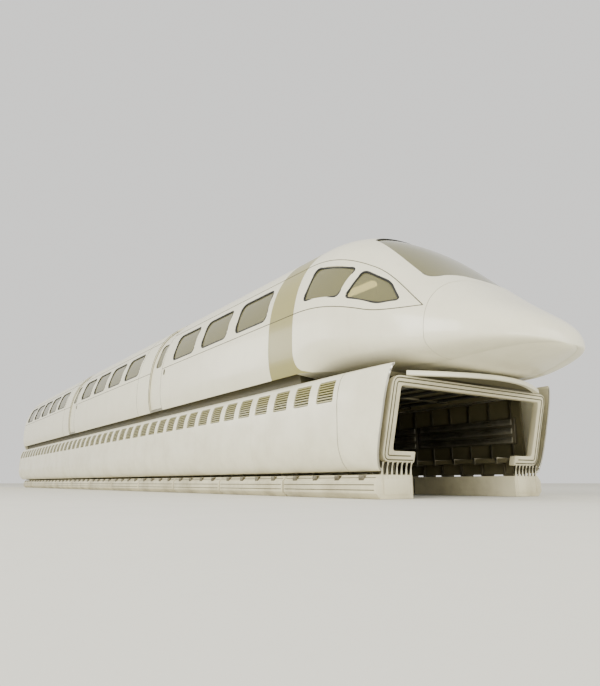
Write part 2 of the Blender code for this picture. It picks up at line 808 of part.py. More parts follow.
def add_magnets():
    front = X_CHANNEL - MAGNET_SETBACK
    box = [(1.06, 0.0), (1.62, 0.0), (1.70, 0.07), (1.70, 0.22), (1.63, MAGNET_TOP), (1.06, MAGNET_TOP)]
    core = [(1.09, 0.03), (1.60, 0.03), (1.67, 0.09), (1.67, 0.20), (1.61, 0.27), (1.09, 0.27)]
    guide = [(1.42, 0.80), (1.4797, 0.80), (1.4797, 1.20), (1.42, 1.20)]
    guide_core = [(1.44, 0.82), (1.4797, 0.82), (1.4797, 1.18), (1.44, 1.18)]
    for side_name, side in SIDES:
        magnet_row(f"support_magnets_{side_name}", box, core, front, side, "cream")
        magnet_row(f"guide_magnets_{side_name}", guide, guide_core, front - 0.2, side, "metal")


def add_front_deflector():
    """The light piece between the nose and the top of the guideway."""
    reach, half = 0.42, 1.40
    outline = []
    for s in steps(-1, 1, 12):
        outline.append((X_CHANNEL + 0.01 + reach * math.cos(s * math.pi / 2), s * half))
    inner = [(x - 0.06, y * 0.96) for x, y in reversed(outline)]
    outline = outline + inner
    lofted("front_deflector", [along_z(outline, 1.522), along_z(outline, 1.585)], "cream")


add_side_walls()
add_roof()
add_stripe_band()
add_doors()
add_cab()
add_nose_cowl()
add_nose_pan()
add_cab_inside()
add_cab_bulkhead()
add_tail()
add_floor()
add_passenger_seats()
add_underframe()
add_skirts()
add_channel_mouth()
add_levitation_frames()
add_magnets()
add_front_deflector()
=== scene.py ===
# %% [markdown]
# # The lead car of a magnetic train
# This lesson dresses a finished CAD model of a magnetic train's lead car. The CAD gives every size and
# joint. Here each outer panel, pane, seat and magnet is made again as a fine mesh that sits where the CAD
# solid is.

# %% Load the frame
import math
import random

import bmesh
import bpy
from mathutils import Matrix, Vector


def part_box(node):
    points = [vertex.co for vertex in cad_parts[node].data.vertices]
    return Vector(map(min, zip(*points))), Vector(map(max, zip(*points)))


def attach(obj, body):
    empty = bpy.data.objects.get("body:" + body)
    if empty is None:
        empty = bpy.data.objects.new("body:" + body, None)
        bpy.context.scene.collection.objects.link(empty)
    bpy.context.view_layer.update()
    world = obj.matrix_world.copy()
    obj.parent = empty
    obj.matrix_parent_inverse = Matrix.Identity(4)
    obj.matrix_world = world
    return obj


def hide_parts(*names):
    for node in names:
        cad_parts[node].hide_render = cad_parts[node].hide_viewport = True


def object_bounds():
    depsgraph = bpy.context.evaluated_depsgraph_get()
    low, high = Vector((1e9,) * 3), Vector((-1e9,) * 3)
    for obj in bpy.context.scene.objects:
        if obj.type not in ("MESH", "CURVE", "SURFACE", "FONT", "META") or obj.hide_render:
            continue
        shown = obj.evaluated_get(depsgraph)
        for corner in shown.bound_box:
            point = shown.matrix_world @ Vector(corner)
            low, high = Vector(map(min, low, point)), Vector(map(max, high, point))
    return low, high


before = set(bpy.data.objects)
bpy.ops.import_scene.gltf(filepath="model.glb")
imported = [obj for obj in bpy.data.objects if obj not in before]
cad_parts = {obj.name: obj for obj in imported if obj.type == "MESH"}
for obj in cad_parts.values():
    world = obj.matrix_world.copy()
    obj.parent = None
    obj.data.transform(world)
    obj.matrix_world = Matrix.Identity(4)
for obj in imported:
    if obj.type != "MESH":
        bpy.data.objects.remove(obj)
CAD_LOW, CAD_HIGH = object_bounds()
random.seed(7)
print("CAD box", [round(v, 3) for v in CAD_LOW], [round(v, 3) for v in CAD_HIGH])

# %% [markdown]
# ## Driving dimensions
# The body is one curved surface, so its few numbers are repeated here from the CAD source, in metres.
# Where a CAD box can say the same thing, the box is asked instead, and the seams then fall in the right
# place.

# %% Sizes of the body
SIDES = (("right", -1), ("left", 1))
X_TIP = CAD_HIGH.x
X_TAIL = CAD_LOW.x
HEIGHT = CAD_HIGH.z
X_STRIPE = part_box("stripe_band")[0].x
X_NOSE = X_STRIPE + 0.70
NOSE_LENGTH = X_TIP - X_NOSE
X_COWL = X_NOSE + 0.69 * NOSE_LENGTH
X_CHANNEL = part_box("channel_mouth")[1].x
X_BODY_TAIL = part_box("rear_end_wall")[1].x + 0.0003
BODY_HALF_WIDTH = 1.80
WAIST_HEIGHT = 1.80
BODY_HEIGHT = HEIGHT - WAIST_HEIGHT
SHOULDER_SHARE = 0.208
ROUNDNESS = 2.4
SILL_SPAN = 0.25
NOSE_TIP_HEIGHT = 0.55
NOSE_DROOP = 1.35
PLAN_POWER = 2.6
TIP_POWER = 10
WAIST_ROLL = 0.045
NOSE_ROLL = 0.35
TURN_SHARE = 0.35
SILL_DIP = 0.10
SILL_RISE = 0.14
WALL = 0.055
print("nose from", round(X_NOSE, 3), "to", round(X_TIP, 3))

# %% [markdown]
# ## The body's surface as a formula
# A point of the outer surface is found from x and u. Along x the car is straight up to the nose. The
# number u runs round the car: 0 on the crown, 1 at the widest line, 1.25 at the lower edge, and negative
# on the right. A panel can then be drawn flat, as a tailor draws a pattern, and bent onto the body
# afterwards.

# %% Surface of the upper body
def smooth_step(share):
    share = min(1.0, max(0.0, share))
    return share * share * (3 - 2 * share)


def steps(first, last, count):
    return [first + (last - first) * i / count for i in range(count + 1)]


def nose_share(x):
    return min(1.0, max(0.0, (x - X_NOSE) / NOSE_LENGTH))


def sill_height(t):
    """The lower edge dips a little along the nose and then rises to the tip."""
    return WAIST_HEIGHT - SILL_DIP * smooth_step(t / 0.6) + SILL_RISE * smooth_step((t - 0.6) / 0.4)


def arch_height(t):
    droop = 1 - smooth_step(t**NOSE_DROOP)
    full = NOSE_TIP_HEIGHT + (BODY_HEIGHT - NOSE_TIP_HEIGHT) * droop
    return full * math.sqrt(1 - t**TIP_POWER)


def sill_turn(t):
    """How far the section turns in below its widest line."""
    return math.radians(60 + 30 * smooth_step(t / TURN_SHARE))


def skin_point(x, u):
    """A point of the outer surface."""
    t = nose_share(x)
    side = math.copysign(1, u)
    wide = BODY_HALF_WIDTH * math.sqrt(1 - t**PLAN_POWER)
    arch = arch_height(t)
    shoulder = sill_height(t) + SHOULDER_SHARE * arch
    if abs(u) <= 1:
        angle = (1 - abs(u)) * math.pi / 2
        y = wide * math.cos(angle) ** (2 / ROUNDNESS)
        z = shoulder + (1 - SHOULDER_SHARE) * arch * math.sin(angle) ** (2 / ROUNDNESS)
    else:
        most = sill_turn(t)
        roll = WAIST_ROLL + (NOSE_ROLL - WAIST_ROLL) * smooth_step(t / TURN_SHARE)
        angle = (abs(u) - 1) / SILL_SPAN * most
        y = wide * (1 - roll * (1 - math.cos(angle)) / (1 - math.cos(most)))
        z = shoulder - SHOULDER_SHARE * arch * math.sin(angle) / math.sin(most)
    return Vector((x, side * y, z))


def skin_normal(x, u):
    step = 0.002
    if x > X_TIP - step:
        return Vector((1, 0, 0))
    x = min(x, X_TIP - 2 * step)
    along = skin_point(x + step, u) - skin_point(x - step, u)
    around = skin_point(x, u + step) - skin_point(x, u - step)
    if abs(u) < step:
        around = Vector((0, 1, 0))
    return along.cross(around).normalized()


def on_skin(x, u, depth=0.0):
    """A point this deep under the outer surface; a negative depth is outside it."""
    return skin_point(x, u) - skin_normal(x, u) * depth


def level(height):
    """The u of the line at this height on the straight body; on the nose the line droops with it."""
    shoulder = WAIST_HEIGHT + SHOULDER_SHARE * BODY_HEIGHT
    if height < shoulder:
        drop = min(1.0, (shoulder - height) / (shoulder - WAIST_HEIGHT))
        return 1 + SILL_SPAN * math.asin(drop * math.sin(sill_turn(0))) / sill_turn(0)
    rise = (height - shoulder) / (HEIGHT - shoulder)
    return 1 - math.asin(rise ** (ROUNDNESS / 2)) * 2 / math.pi


SILL = 1 + SILL_SPAN
ROOF_EDGE = level(3.92)
print("half width at window height", round(skin_point(0, level(3.1)).y, 3))

# %% [markdown]
# ## Layout of windows and doors
# The window groups and doorways follow from one pitch, counted back from the stripe, as on the drawing
# board.

# %% Window and door positions
WINDOW_WIDTH = 1.10
WINDOW_PITCH = 1.45
WINDOW_BOTTOM = 2.84
WINDOW_TOP = 3.42
DOOR_OPENING = 0.74
POCKET_LENGTH = 0.82
WINDOW_GROUPS = (3, 4, 5)
BEFORE_DOOR = 0.55
AFTER_POCKET = 0.12


def layout():
    groups, doorways = [], []
    front = X_STRIPE - 0.15
    for number, count in enumerate(WINDOW_GROUPS):
        first = front - WINDOW_WIDTH / 2
        groups.append([first - WINDOW_PITCH * i for i in range(count)])
        doorway = groups[-1][-1] - WINDOW_WIDTH / 2 - BEFORE_DOOR
        if number < len(WINDOW_GROUPS) - 1:
            doorways.append(doorway)
        front = doorway - DOOR_OPENING - POCKET_LENGTH - AFTER_POCKET
    return groups, doorways


WINDOWS, DOORWAYS = layout()
WALL_FRONTS = [X_STRIPE] + [d - DOOR_OPENING - POCKET_LENGTH for d in DOORWAYS]
WALL_BACKS = DOORWAYS + [X_BODY_TAIL]
STRETCHES = list(zip(("front", "middle", "rear"), WALL_FRONTS, WALL_BACKS, WINDOWS))
print("doorways start at x =", [round(d, 2) for d in DOORWAYS])

# %% [markdown]
# ## Tools for panels
# A flat pattern is filled between its outline and its holes, then sliced along fixed lines. The slices
# give it points to bend at, so a panel with a hole still follows the curve exactly. A Boolean cut would
# also make the hole, but its long thin faces shade badly on a curved wall. Small parts are tubes, blocks
# and prisms.

# %% Flat patterns
def flat_pattern(outline, holes=(), x_lines=(), v_lines=()):
    bm = bmesh.new()
    edges = []
    for loop in (outline, *holes):
        corners = [bm.verts.new((x, v, 0)) for x, v in loop]
        for a, b in zip(corners, corners[1:] + corners[:1]):
            edges.append(bm.edges.new((a, b)))
    bmesh.ops.triangle_fill(bm, edges=edges, use_beauty=True, use_dissolve=False)
    for axis, lines in ((0, x_lines), (1, v_lines)):
        for line in lines:
            normal = Vector((1 - axis, axis, 0))
            everything = bm.verts[:] + bm.edges[:] + bm.faces[:]
            bmesh.ops.bisect_plane(bm, geom=everything, dist=1e-6, plane_co=normal * line, plane_no=normal)
    for face in bm.faces:
        face.normal_update()
        if face.normal.z < 0:
            face.normal_flip()
    return bm


print("patterns can be filled and sliced")

# %% From a mesh to a piece
def linked(name, data):
    """A new object of this data, in the scene."""
    obj = bpy.data.objects.new(name, data)
    bpy.context.scene.collection.objects.link(obj)
    return obj


def finished(name, mesh, material, body, slot, node):
    """The mesh becomes a piece that rides on a CAD body and may stand in for a CAD node."""
    mesh.materials.append(material)
    obj = linked(name, mesh)
    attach(obj, body)
    slot = slot or SLOTS.get(material)
    if node:
        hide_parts(node)
    return obj


def piece(name, bm, material, body="car", slot=None, node=None, angle=32):
    """A finished bmesh becomes a piece, smooth except at edges sharper than the angle."""
    mesh = bpy.data.meshes.new(name)
    bm.to_mesh(mesh)
    bm.free()
    mesh.shade_smooth()
    mesh.set_sharp_from_angle(angle=math.radians(angle))
    return finished(name, mesh, material, body, slot, node)


print("pieces ride on bodies and stand for CAD nodes")

# %% Outlines
def rectangle(x0, x1, v0, v1):
    low, high = min(v0, v1), max(v0, v1)
    return [(x0, low), (x1, low), (x1, high), (x0, high)]


def curve_point(start, corner, end, s):
    """A point of the curve that leaves start towards the corner and arrives at end."""
    return start * (1 - s) ** 2 + corner * 2 * s * (1 - s) + end * s * s


def rounded(corners, radius, count=7):
    """Rounds the corners of an outline, all by one radius or each by its own."""
    radii = radius if hasattr(radius, "__len__") else [radius] * len(corners)
    outline = []
    for i, (corner, radius) in enumerate(zip(corners, radii)):
        corner = Vector(corner)
        before = Vector(corners[i - 1]) - corner
        after = Vector(corners[(i + 1) % len(corners)]) - corner
        start = corner + before.normalized() * min(radius, before.length * 0.45)
        end = corner + after.normalized() * min(radius, after.length * 0.45)
        outline += [tuple(curve_point(start, corner, end, s)) for s in steps(0, 1, count)]
    return outline


def on_side(outline, side):
    """An outline in x and height becomes one in x and u."""
    return [(x, side * level(z)) for x, z in outline]


def box_outline(middle, half, low, high):
    return [(middle - half, low), (middle + half, low), (middle + half, high), (middle - half, high)]


def joined(name, parts, material, body="car", slot=None, node=None, angle=32):
    """Several bmeshes as one piece."""
    whole = bmesh.new()
    for part in parts:
        mesh = bpy.data.meshes.new("part")
        part.to_mesh(mesh)
        part.free()
        whole.from_mesh(mesh)
        bpy.data.meshes.remove(mesh)
    return piece(name, whole, material, body, slot, node, angle)


print("outlines and joining ready")

# %% Bars, blocks and prisms
def loft(rings, closed=False):
    """A solid through rings of equally many points, with flat ends or closed onto itself."""
    bm = bmesh.new()
    loops = [[bm.verts.new(point) for point in ring] for ring in rings]
    pairs = list(zip(loops, loops[1:])) + ([(loops[-1], loops[0])] if closed else [])
    for near, far in pairs:
        for i in range(len(near)):
            j = (i + 1) % len(near)
            bm.faces.new((near[i], near[j], far[j], far[i]))
    if not closed:
        bm.faces.new(loops[0])
        bm.faces.new(loops[-1])
    bmesh.ops.recalc_face_normals(bm, faces=bm.faces)
    return bm


def tube(points, radius, sides=8, closed=True):
    """A round bead along a chain of points, which bites its own tail if it is closed."""
    turns = [2 * math.pi * k / sides for k in range(sides)]
    rings = []
    for i, point in enumerate(points):
        ahead = points[(i + 1) % len(points)] if closed or i < len(points) - 1 else point
        behind = points[i - 1] if closed or i > 0 else point
        run = (ahead - behind).normalized()
        across = run.cross(Vector((0.13, 0.21, 1))).normalized()
        up = across.cross(run)
        rings.append([point + (across * math.cos(a) + up * math.sin(a)) * radius for a in turns])
    return loft(rings, closed)


def rod(points, radius, sides=8):
    """A round bar with closed ends."""
    return tube(points, radius, sides, closed=False)


SHARP = 0.5


def soften(bm, edges, width, segments):
    bmesh.ops.bevel(bm, geom=edges, offset=width, segments=segments, profile=0.5, affect="EDGES")


def block(low, high, bevel=0.0, segments=2):
    """A box with softened edges."""
    bm = bmesh.new()
    bmesh.ops.create_cube(bm, size=1)
    for vert in bm.verts:
        vert.co = Vector([(low[k] + high[k]) / 2 + vert.co[k] * (high[k] - low[k]) for k in range(3)])
    if bevel:
        soften(bm, bm.edges[:], bevel, segments)
    return bm


def prism(outline, axis, low, high, bevel=0.0):
    """A flat outline carried along x, y or z, with softened edges."""
    places = {
        "x": lambda a, b, c: Vector((c, a, b)),
        "y": lambda a, b, c: Vector((a, c, b)),
        "z": lambda a, b, c: Vector((a, b, c)),
    }
    rings = [[places[axis](a, b, c) for a, b in outline] for c in (low, high)]
    bm = loft(rings)
    if bevel:
        soften(bm, [e for e in bm.edges if e.calc_face_angle(0) > SHARP], bevel, 2)
    return bm


print("bars, blocks and prisms ready")

# %% [markdown]
# ## Materials
# Shared effects are node groups that give only masks and heights: dust and rain streaks, a weave, brushed
# lines. Each material mixes two colours by such a mask, and sets its plain numbers on the shader itself.
# The pattern is read from object coordinates, so it stays fixed to the car and two neighbouring panels
# match at a seam.

# %% Node groups
def add_node(tree, kind, values=None, **settings):
    node = tree.nodes.new(kind)
    for name, value in settings.items():
        setattr(node, name, value)
    for name, value in (values or {}).items():
        node.inputs[name].default_value = value
    return node


def new_group(name, outputs):
    tree = bpy.data.node_groups.new(name, "ShaderNodeTree")
    for label in outputs:
        tree.interface.new_socket(label, in_out="OUTPUT", socket_type="NodeSocketFloat")
    return tree, add_node(tree, "ShaderNodeTexCoord"), tree.nodes.new("NodeGroupOutput")


def noise(tree, coords, scale, stretch=(1, 1, 1), detail=5.0):
    place = add_node(tree, "ShaderNodeMapping", {"Scale": stretch})
    texture = add_node(tree, "ShaderNodeTexNoise", {"Scale": scale, "Detail": detail, "Roughness": 0.6})
    tree.links.new(coords.outputs["Object"], place.inputs["Vector"])
    tree.links.new(place.outputs["Vector"], texture.inputs["Vector"])
    return texture.outputs["Fac"]


def ranged(tree, source, low, high, to_low=0.0, to_high=1.0):
    """The mask with its range from low to high stretched over a new range."""
    limits = {"From Min": low, "From Max": high, "To Min": to_low, "To Max": to_high}
    node = add_node(tree, "ShaderNodeMapRange", limits)
    tree.links.new(source, node.inputs["Value"])
    return node.outputs["Result"]


def product(tree, first, second, operation="MULTIPLY"):
    node = add_node(tree, "ShaderNodeMath", operation=operation)
    for socket, source in zip(node.inputs, (first, second)):
        tree.links.new(source, socket)
    return node.outputs["Value"]


def weather_group():
    """Dust that gathers low down, streaks that run downwards, and a fine grain."""
    tree, coords, out = new_group("weather", ("Dust", "Streaks", "Grain"))
    split = add_node(tree, "ShaderNodeSeparateXYZ")
    tree.links.new(coords.outputs["Object"], split.inputs["Vector"])
    low_down = ranged(tree, split.outputs["Z"], 0.0, 2.2, 1.0, 0.25)
    clouds = ranged(tree, noise(tree, coords, 1.7), 0.42, 0.72)
    tree.links.new(product(tree, clouds, low_down), out.inputs["Dust"])
    streaks = noise(tree, coords, 1.0, (7, 7, 0.5), 4.0)
    tree.links.new(ranged(tree, streaks, 0.55, 0.78), out.inputs["Streaks"])
    tree.links.new(noise(tree, coords, 160.0, detail=2.0), out.inputs["Grain"])
    return tree


def weave_group():
    """Threads that cross, for cloth and carpet."""
    tree, coords, out = new_group("weave", ("Threads", "Flecks"))
    waves = []
    for direction in ("X", "Z"):
        values = {"Scale": 55.0, "Distortion": 0.6}
        wave = add_node(tree, "ShaderNodeTexWave", values, bands_direction=direction)
        tree.links.new(coords.outputs["Object"], wave.inputs["Vector"])
        waves.append(wave.outputs["Fac"])
    tree.links.new(product(tree, *waves, operation="MAXIMUM"), out.inputs["Threads"])
    tree.links.new(ranged(tree, noise(tree, coords, 40.0), 0.45, 0.7), out.inputs["Flecks"])
    return tree


def brushed_group():
    """Fine lines along the car, as on rolled metal."""
    tree, coords, out = new_group("brushed", ("Lines", "Stains"))
    tree.links.new(noise(tree, coords, 6.0, (0.6, 40, 40), 3.0), out.inputs["Lines"])
    tree.links.new(ranged(tree, noise(tree, coords, 2.6), 0.45, 0.75), out.inputs["Stains"])
    return tree


GROUPS = {"weather": weather_group(), "weave": weave_group(), "brushed": brushed_group()}
print("node groups", sorted(GROUPS))

# %% Material recipes
def linear(colour):
    """A colour as it looks on screen, as the light values that the shader wants."""
    return [((c + 0.055) / 1.055) ** 2.4 if c > 0.04045 else c / 12.92 for c in colour] + [1.0]


def mixed(tree, factor, first, second):
    """A mix of two colours; each is a value or another mix."""
    node = add_node(tree, "ShaderNodeMix", data_type="RGBA")
    colours = [s for s in node.inputs if s.type == "RGBA"]
    for socket, value in zip(colours, (first, second)):
        if hasattr(value, "links"):
            tree.links.new(value, socket)
        else:
            socket.default_value = linear(value)
    tree.links.new(factor, node.inputs["Factor"])
    return [s for s in node.outputs if s.type == "RGBA"][0]


def scaled(colour, share):
    return [c * share for c in colour]


def new_material(name, group, **plain):
    """Its tree, the masks of one group, and the shader with its plain numbers set."""
    material = bpy.data.materials.new(name)
    material.use_nodes = True
    tree = material.node_tree
    shader = tree.nodes["Principled BSDF"]
    for label, value in plain.items():
        shader.inputs[label.replace("_", " ")].default_value = value
    marks = add_node(tree, "ShaderNodeGroup", node_tree=GROUPS[group])
    return material, tree, shader, marks.outputs


def feed(tree, shader, colour, rough=None, bump=None, strength=0.0, distance=0.002):
    """Links what a recipe worked out to the shader's own sockets."""
    tree.links.new(colour, shader.inputs["Base Color"])
    if rough:
        tree.links.new(rough, shader.inputs["Roughness"])
    if bump:
        relief = add_node(tree, "ShaderNodeBump", {"Strength": strength, "Distance": distance})
        tree.links.new(bump, relief.inputs["Height"])
        tree.links.new(relief.outputs["Normal"], shader.inputs["Normal"])


def painted(name, colour, dusty, rough=0.3, coat=0.3, dust=0.5, grain=0.06):
    """Paint, rubber or plastic: a base colour, dust, rain streaks and a fine grain."""
    plain = {"Metallic": 0.0, "Coat_Weight": coat, "Coat_Roughness": 0.12}
    material, tree, shader, marks = new_material(name, "weather", **plain)
    under = mixed(tree, ranged(tree, marks["Dust"], 0, 1, 0, dust), colour, dusty)
    streaked = [c * 0.55 + d * 0.40 for c, d in zip(colour, dusty)]
    tinted = mixed(tree, ranged(tree, marks["Streaks"], 0, 1, 0, dust * 0.35), under, streaked)
    dull = ranged(tree, marks["Dust"], 0, 1, rough, rough + 0.2)
    feed(tree, shader, tinted, dull, marks["Grain"], grain)
    return material


def woven(name, colour, second, rough=0.85):
    material, tree, shader, marks = new_material(name, "weave", Sheen_Weight=0.3)
    threads = mixed(tree, marks["Threads"], second, colour)
    cloth = mixed(tree, ranged(tree, marks["Flecks"], 0, 1, 0, 0.5), threads, scaled(colour, 0.8))
    dull = ranged(tree, marks["Threads"], 0, 1, rough, rough - 0.12)
    feed(tree, shader, cloth, dull, marks["Threads"], 0.5)
    return material


def rolled_metal(name, colour, stained, rough=0.32):
    material, tree, shader, marks = new_material(name, "brushed", Metallic=1.0)
    tone = mixed(tree, ranged(tree, marks["Stains"], 0, 1, 0, 0.6), colour, stained)
    sheen = ranged(tree, marks["Lines"], 0.3, 0.7, rough - 0.08, rough + 0.12)
    feed(tree, shader, tone, sheen, marks["Lines"], 0.12, 0.001)
    return material


def tinted_glass(name, colour, dusty, clear):
    """Glass that lets this share of the light through; a light film of dust shows in the rest."""
    plain = {"Metallic": 0.0, "Transmission_Weight": clear, "IOR": 1.45}
    material, tree, shader, marks = new_material(name, "weather", **plain)
    tint = mixed(tree, ranged(tree, marks["Dust"], 0, 1, 0, 0.25), colour, dusty)
    feed(tree, shader, tint, ranged(tree, marks["Dust"], 0, 1, 0.02, 0.10))
    return material


def glowing(name, colour, strength):
    material, tree, shader, marks = new_material(name, "weather", Emission_Strength=strength)
    feed(tree, shader, mixed(tree, marks["Dust"], colour, scaled(colour, 0.9)))
    glow = mixed(tree, marks["Grain"], colour, scaled(colour, 0.95))
    tree.links.new(glow, shader.inputs["Emission Color"])
    return material


print("recipes for paint, cloth, metal, glass and lamps")

# %% The palette
CREAM = painted("cream_paint", (0.93, 0.91, 0.80), (0.70, 0.66, 0.52), dust=0.45)
KHAKI = painted("khaki_paint", (0.60, 0.57, 0.34), (0.50, 0.47, 0.33), dust=0.4)
SEAM = painted("seam_sealer", (0.30, 0.29, 0.19), (0.40, 0.38, 0.28), rough=0.6, coat=0.0)
DARK = painted("underframe_paint", (0.32, 0.30, 0.20), (0.46, 0.42, 0.30), rough=0.55, coat=0.0, dust=0.7)
# SHADE is a near-black paint that stands in for shade: painted shade behind the louvre slats and in the
# gaps between the magnet casings.
SHADE = painted("painted_recess_shade", (0.13, 0.125, 0.085), (0.22, 0.21, 0.15), rough=0.75, coat=0.0)
CASING = painted("magnet_casing", (0.84, 0.81, 0.68), (0.58, 0.54, 0.42), rough=0.42, coat=0.1, dust=0.7)
RUBBER = painted("rubber", (0.10, 0.10, 0.085), (0.24, 0.23, 0.18), rough=0.62, coat=0.0, grain=0.2)
PLASTIC = painted("desk_plastic", (0.24, 0.25, 0.24), (0.34, 0.34, 0.30), rough=0.5, coat=0.0, grain=0.25)
LINING = painted("lining_panel", (0.78, 0.77, 0.70), (0.62, 0.60, 0.52), rough=0.5, coat=0.0, dust=0.3)
METAL = rolled_metal("bare_metal", (0.74, 0.73, 0.68), (0.46, 0.43, 0.34))
STEEL = rolled_metal("dark_steel", (0.50, 0.48, 0.41), (0.32, 0.27, 0.19), 0.42)
FABRIC = woven("seat_fabric", (0.34, 0.38, 0.24), (0.20, 0.23, 0.14))
CARPET = woven("carpet", (0.30, 0.29, 0.24), (0.18, 0.17, 0.14), 0.95)
GLASS = tinted_glass("window_glass", (0.66, 0.64, 0.46), (0.60, 0.56, 0.40), 0.62)
SCREEN = painted("screen_glass", (0.05, 0.06, 0.06), (0.12, 0.12, 0.11), rough=0.15, coat=0.6)
LAMP = glowing("lamp_cover", (1.0, 0.95, 0.82), 5.0)
SLOTS = {CREAM: "body_paint", GLASS: "window_glass", LINING: "cabin_lining", FABRIC: "seat_fabric"}
print(len(bpy.data.materials), "materials; these fill a slot wherever they are used:", len(SLOTS))

# %% [markdown]
# ## Outer panels
# Each panel is the flat pattern at two depths, joined along its edges and round its holes. The surface
# formula also gives the exact normal at each point. It is stored on the mesh, so the long wall shades as
# one clean curve in place of a row of flat strips, and a highlight runs across the seam from one panel to
# the next.

# %% Bent panels
BELT = level(2.74)
GUTTER = level(3.56)
RING = steps(-SILL, -1, 8) + steps(-1, 1, 84)[1:] + steps(1, SILL, 8)[1:]
WALL_US = [u for u in RING if u > ROOF_EDGE]


def bent_parts(outline, holes, x_lines, v_lines, depths, surface):
    """The points, faces and corner normals of a flat pattern bent onto a surface at two depths."""
    flat = flat_pattern(outline, holes, x_lines, v_lines)
    flat.verts.index_update()
    places = [(v.co.x, v.co.y) for v in flat.verts]
    count = len(places)
    outer = [[v.index for v in face.verts] for face in flat.faces]
    inner = [[i + count for i in reversed(face)] for face in outer]
    rims = []
    for loop in [e.link_loops[0] for e in flat.edges if len(e.link_faces) == 1]:
        a, b = loop.vert.index, loop.link_loop_next.vert.index
        rims.append([b, a, a + count, b + count])
    flat.free()
    points = [surface(x, v, depth) for depth in depths for x, v in places]
    normals = [facing(surface, x, v) for x, v in places]
    return points, outer + inner + rims, normals


def facing(surface, x, v):
    """The outward direction of a surface at its depth 0."""
    if surface is on_skin:
        return skin_normal(x, v)
    step = 0.002
    along = surface(x + step, v, 0) - surface(x - step, v, 0)
    around = surface(x, v + step, 0) - surface(x, v - step, 0)
    return along.cross(around).normalized()


def bent_panel(
    name, outline, holes, x_lines, v_lines, depths, material, node=None, body="car", slot=None,
    surface=on_skin,
):
    """A panel between two depths of a surface, shaded by the surface's own normals."""
    points, faces, normals = bent_parts(outline, holes, x_lines, v_lines, depths, surface)
    count = len(normals)
    mesh = bpy.data.meshes.new(name)
    mesh.from_pydata(points, [], faces)
    split = []
    for polygon in mesh.polygons:
        own = [i < count for i in polygon.vertices]
        for i in polygon.vertices:
            rim = any(own) and not all(own)
            split.append(polygon.normal if rim else (normals[i] if i < count else -normals[i - count]))
    mesh.shade_smooth()
    mesh.normals_split_custom_set(split)
    return finished(name, mesh, material, body, slot, node)


def bent_solid(outline, v_lines, depths, surface=on_skin, holes=()):
    """The same as a bmesh, for small parts that are joined into one piece."""
    points, faces, _ = bent_parts(outline, holes, (), v_lines, depths, surface)
    bm = bmesh.new()
    corners = [bm.verts.new(point) for point in points]
    for face in faces:
        bm.faces.new([corners[i] for i in face])
    return bm


print("panels can be bent at two depths")

# %% Edges and seals
WINDOW_CORNER = 0.14
PANEL_GAP = 0.002


def signed(us, side):
    return [side * u for u in us]


def inset(outline, gap_x, gap_u):
    """The outline drawn in towards its middle."""
    middle_x = (max(x for x, u in outline) + min(x for x, u in outline)) / 2
    middle_u = (max(u for x, u in outline) + min(u for x, u in outline)) / 2
    half_x = max(x for x, u in outline) - middle_x
    half_u = max(u for x, u in outline) - middle_u
    share_x, share_u = 1 - gap_x / half_x, 1 - gap_u / half_u
    return [(middle_x + (x - middle_x) * share_x, middle_u + (u - middle_u) * share_u) for x, u in outline]


def window_outline(x, side):
    corners = box_outline(x, WINDOW_WIDTH / 2, WINDOW_BOTTOM, WINDOW_TOP)
    return on_side(rounded(corners, WINDOW_CORNER), side)


def bead(outline, radius, depth=0.0, closed=True):
    return tube([on_skin(x, u, depth) for x, u in outline], radius, closed=closed)


print("window corners are rounded, and a bead can follow any outline")

# %% Side walls, panes and their rubber seals
GLASS_DEPTHS = (0.020, 0.028)


def glazed(name, outlines, x_lines, u_lines, nodes):
    """A pane in each opening, set back from the outer skin. Some panes stand for a CAD node."""
    for number, outline in enumerate(outlines):
        shrunk = inset(outline, 0.002, 0.001)
        low, high = min(x for x, u in shrunk), max(x for x, u in shrunk)
        lines = [x for x in x_lines if low < x < high]
        pane, node = f"{name}_{number + 1}", nodes.get(number)
        bent_panel(pane, shrunk, (), lines, u_lines, GLASS_DEPTHS, GLASS, node)


def build_side_walls():
    for hand, side in SIDES:
        for label, front, back, centres in STRETCHES:
            ends = (back + PANEL_GAP, front - PANEL_GAP)
            outline = rectangle(*ends, side * (ROOF_EDGE + 0.001), side * SILL)
            openings = [window_outline(x, side) for x in centres]
            name = f"{label}_{hand}"
            lines = signed(WALL_US, side)
            bent_panel(f"wall_{name}", outline, openings, (), lines, (0, WALL), CREAM, f"side_wall_{name}")
            glazed(f"pane_{name}", openings, (), lines, {0: f"window_glass_{name}"})
            joined(f"window_seals_{name}", [bead(opening, 0.020, 0.013) for opening in openings], RUBBER)


build_side_walls()

# %% [markdown]
# ## Roof, stripe and cab
# The stripe's front edge runs straight down and then sweeps forward at its foot, so the cab shell and the
# stripe share one curved seam. The cab shell carries two panes on each side and a large windshield.

# %% Roof and stripe
SWEEP_HEIGHT = 2.12
SWEEP = 0.30


def stripe_edge(u):
    """The seam between stripe and cab: straight, then swept forward at its foot."""
    start = level(SWEEP_HEIGHT)
    if abs(u) <= start:
        return X_NOSE
    share = (abs(u) - start) / (SILL - start)
    return X_NOSE + SWEEP * (1 - math.sqrt(max(0.0, 1 - share * share)))


def build_roof_and_stripe():
    outline = rectangle(X_BODY_TAIL, X_STRIPE - PANEL_GAP, -ROOF_EDGE + 0.001, ROOF_EDGE - 0.001)
    bent_panel("roof_panel", outline, (), (), RING, (0, WALL), CREAM, "roof")
    edge = [(stripe_edge(u) - PANEL_GAP, u) for u in RING]
    outline = [(X_STRIPE, -SILL)] + edge + [(X_STRIPE, SILL)]
    lines = steps(X_NOSE, X_NOSE + SWEEP, 6)
    bent_panel("stripe", outline, (), lines, RING, (0, WALL), KHAKI, "stripe_band", slot="stripe_paint")


build_roof_and_stripe()
print("the stripe starts at x =", round(X_STRIPE, 3))

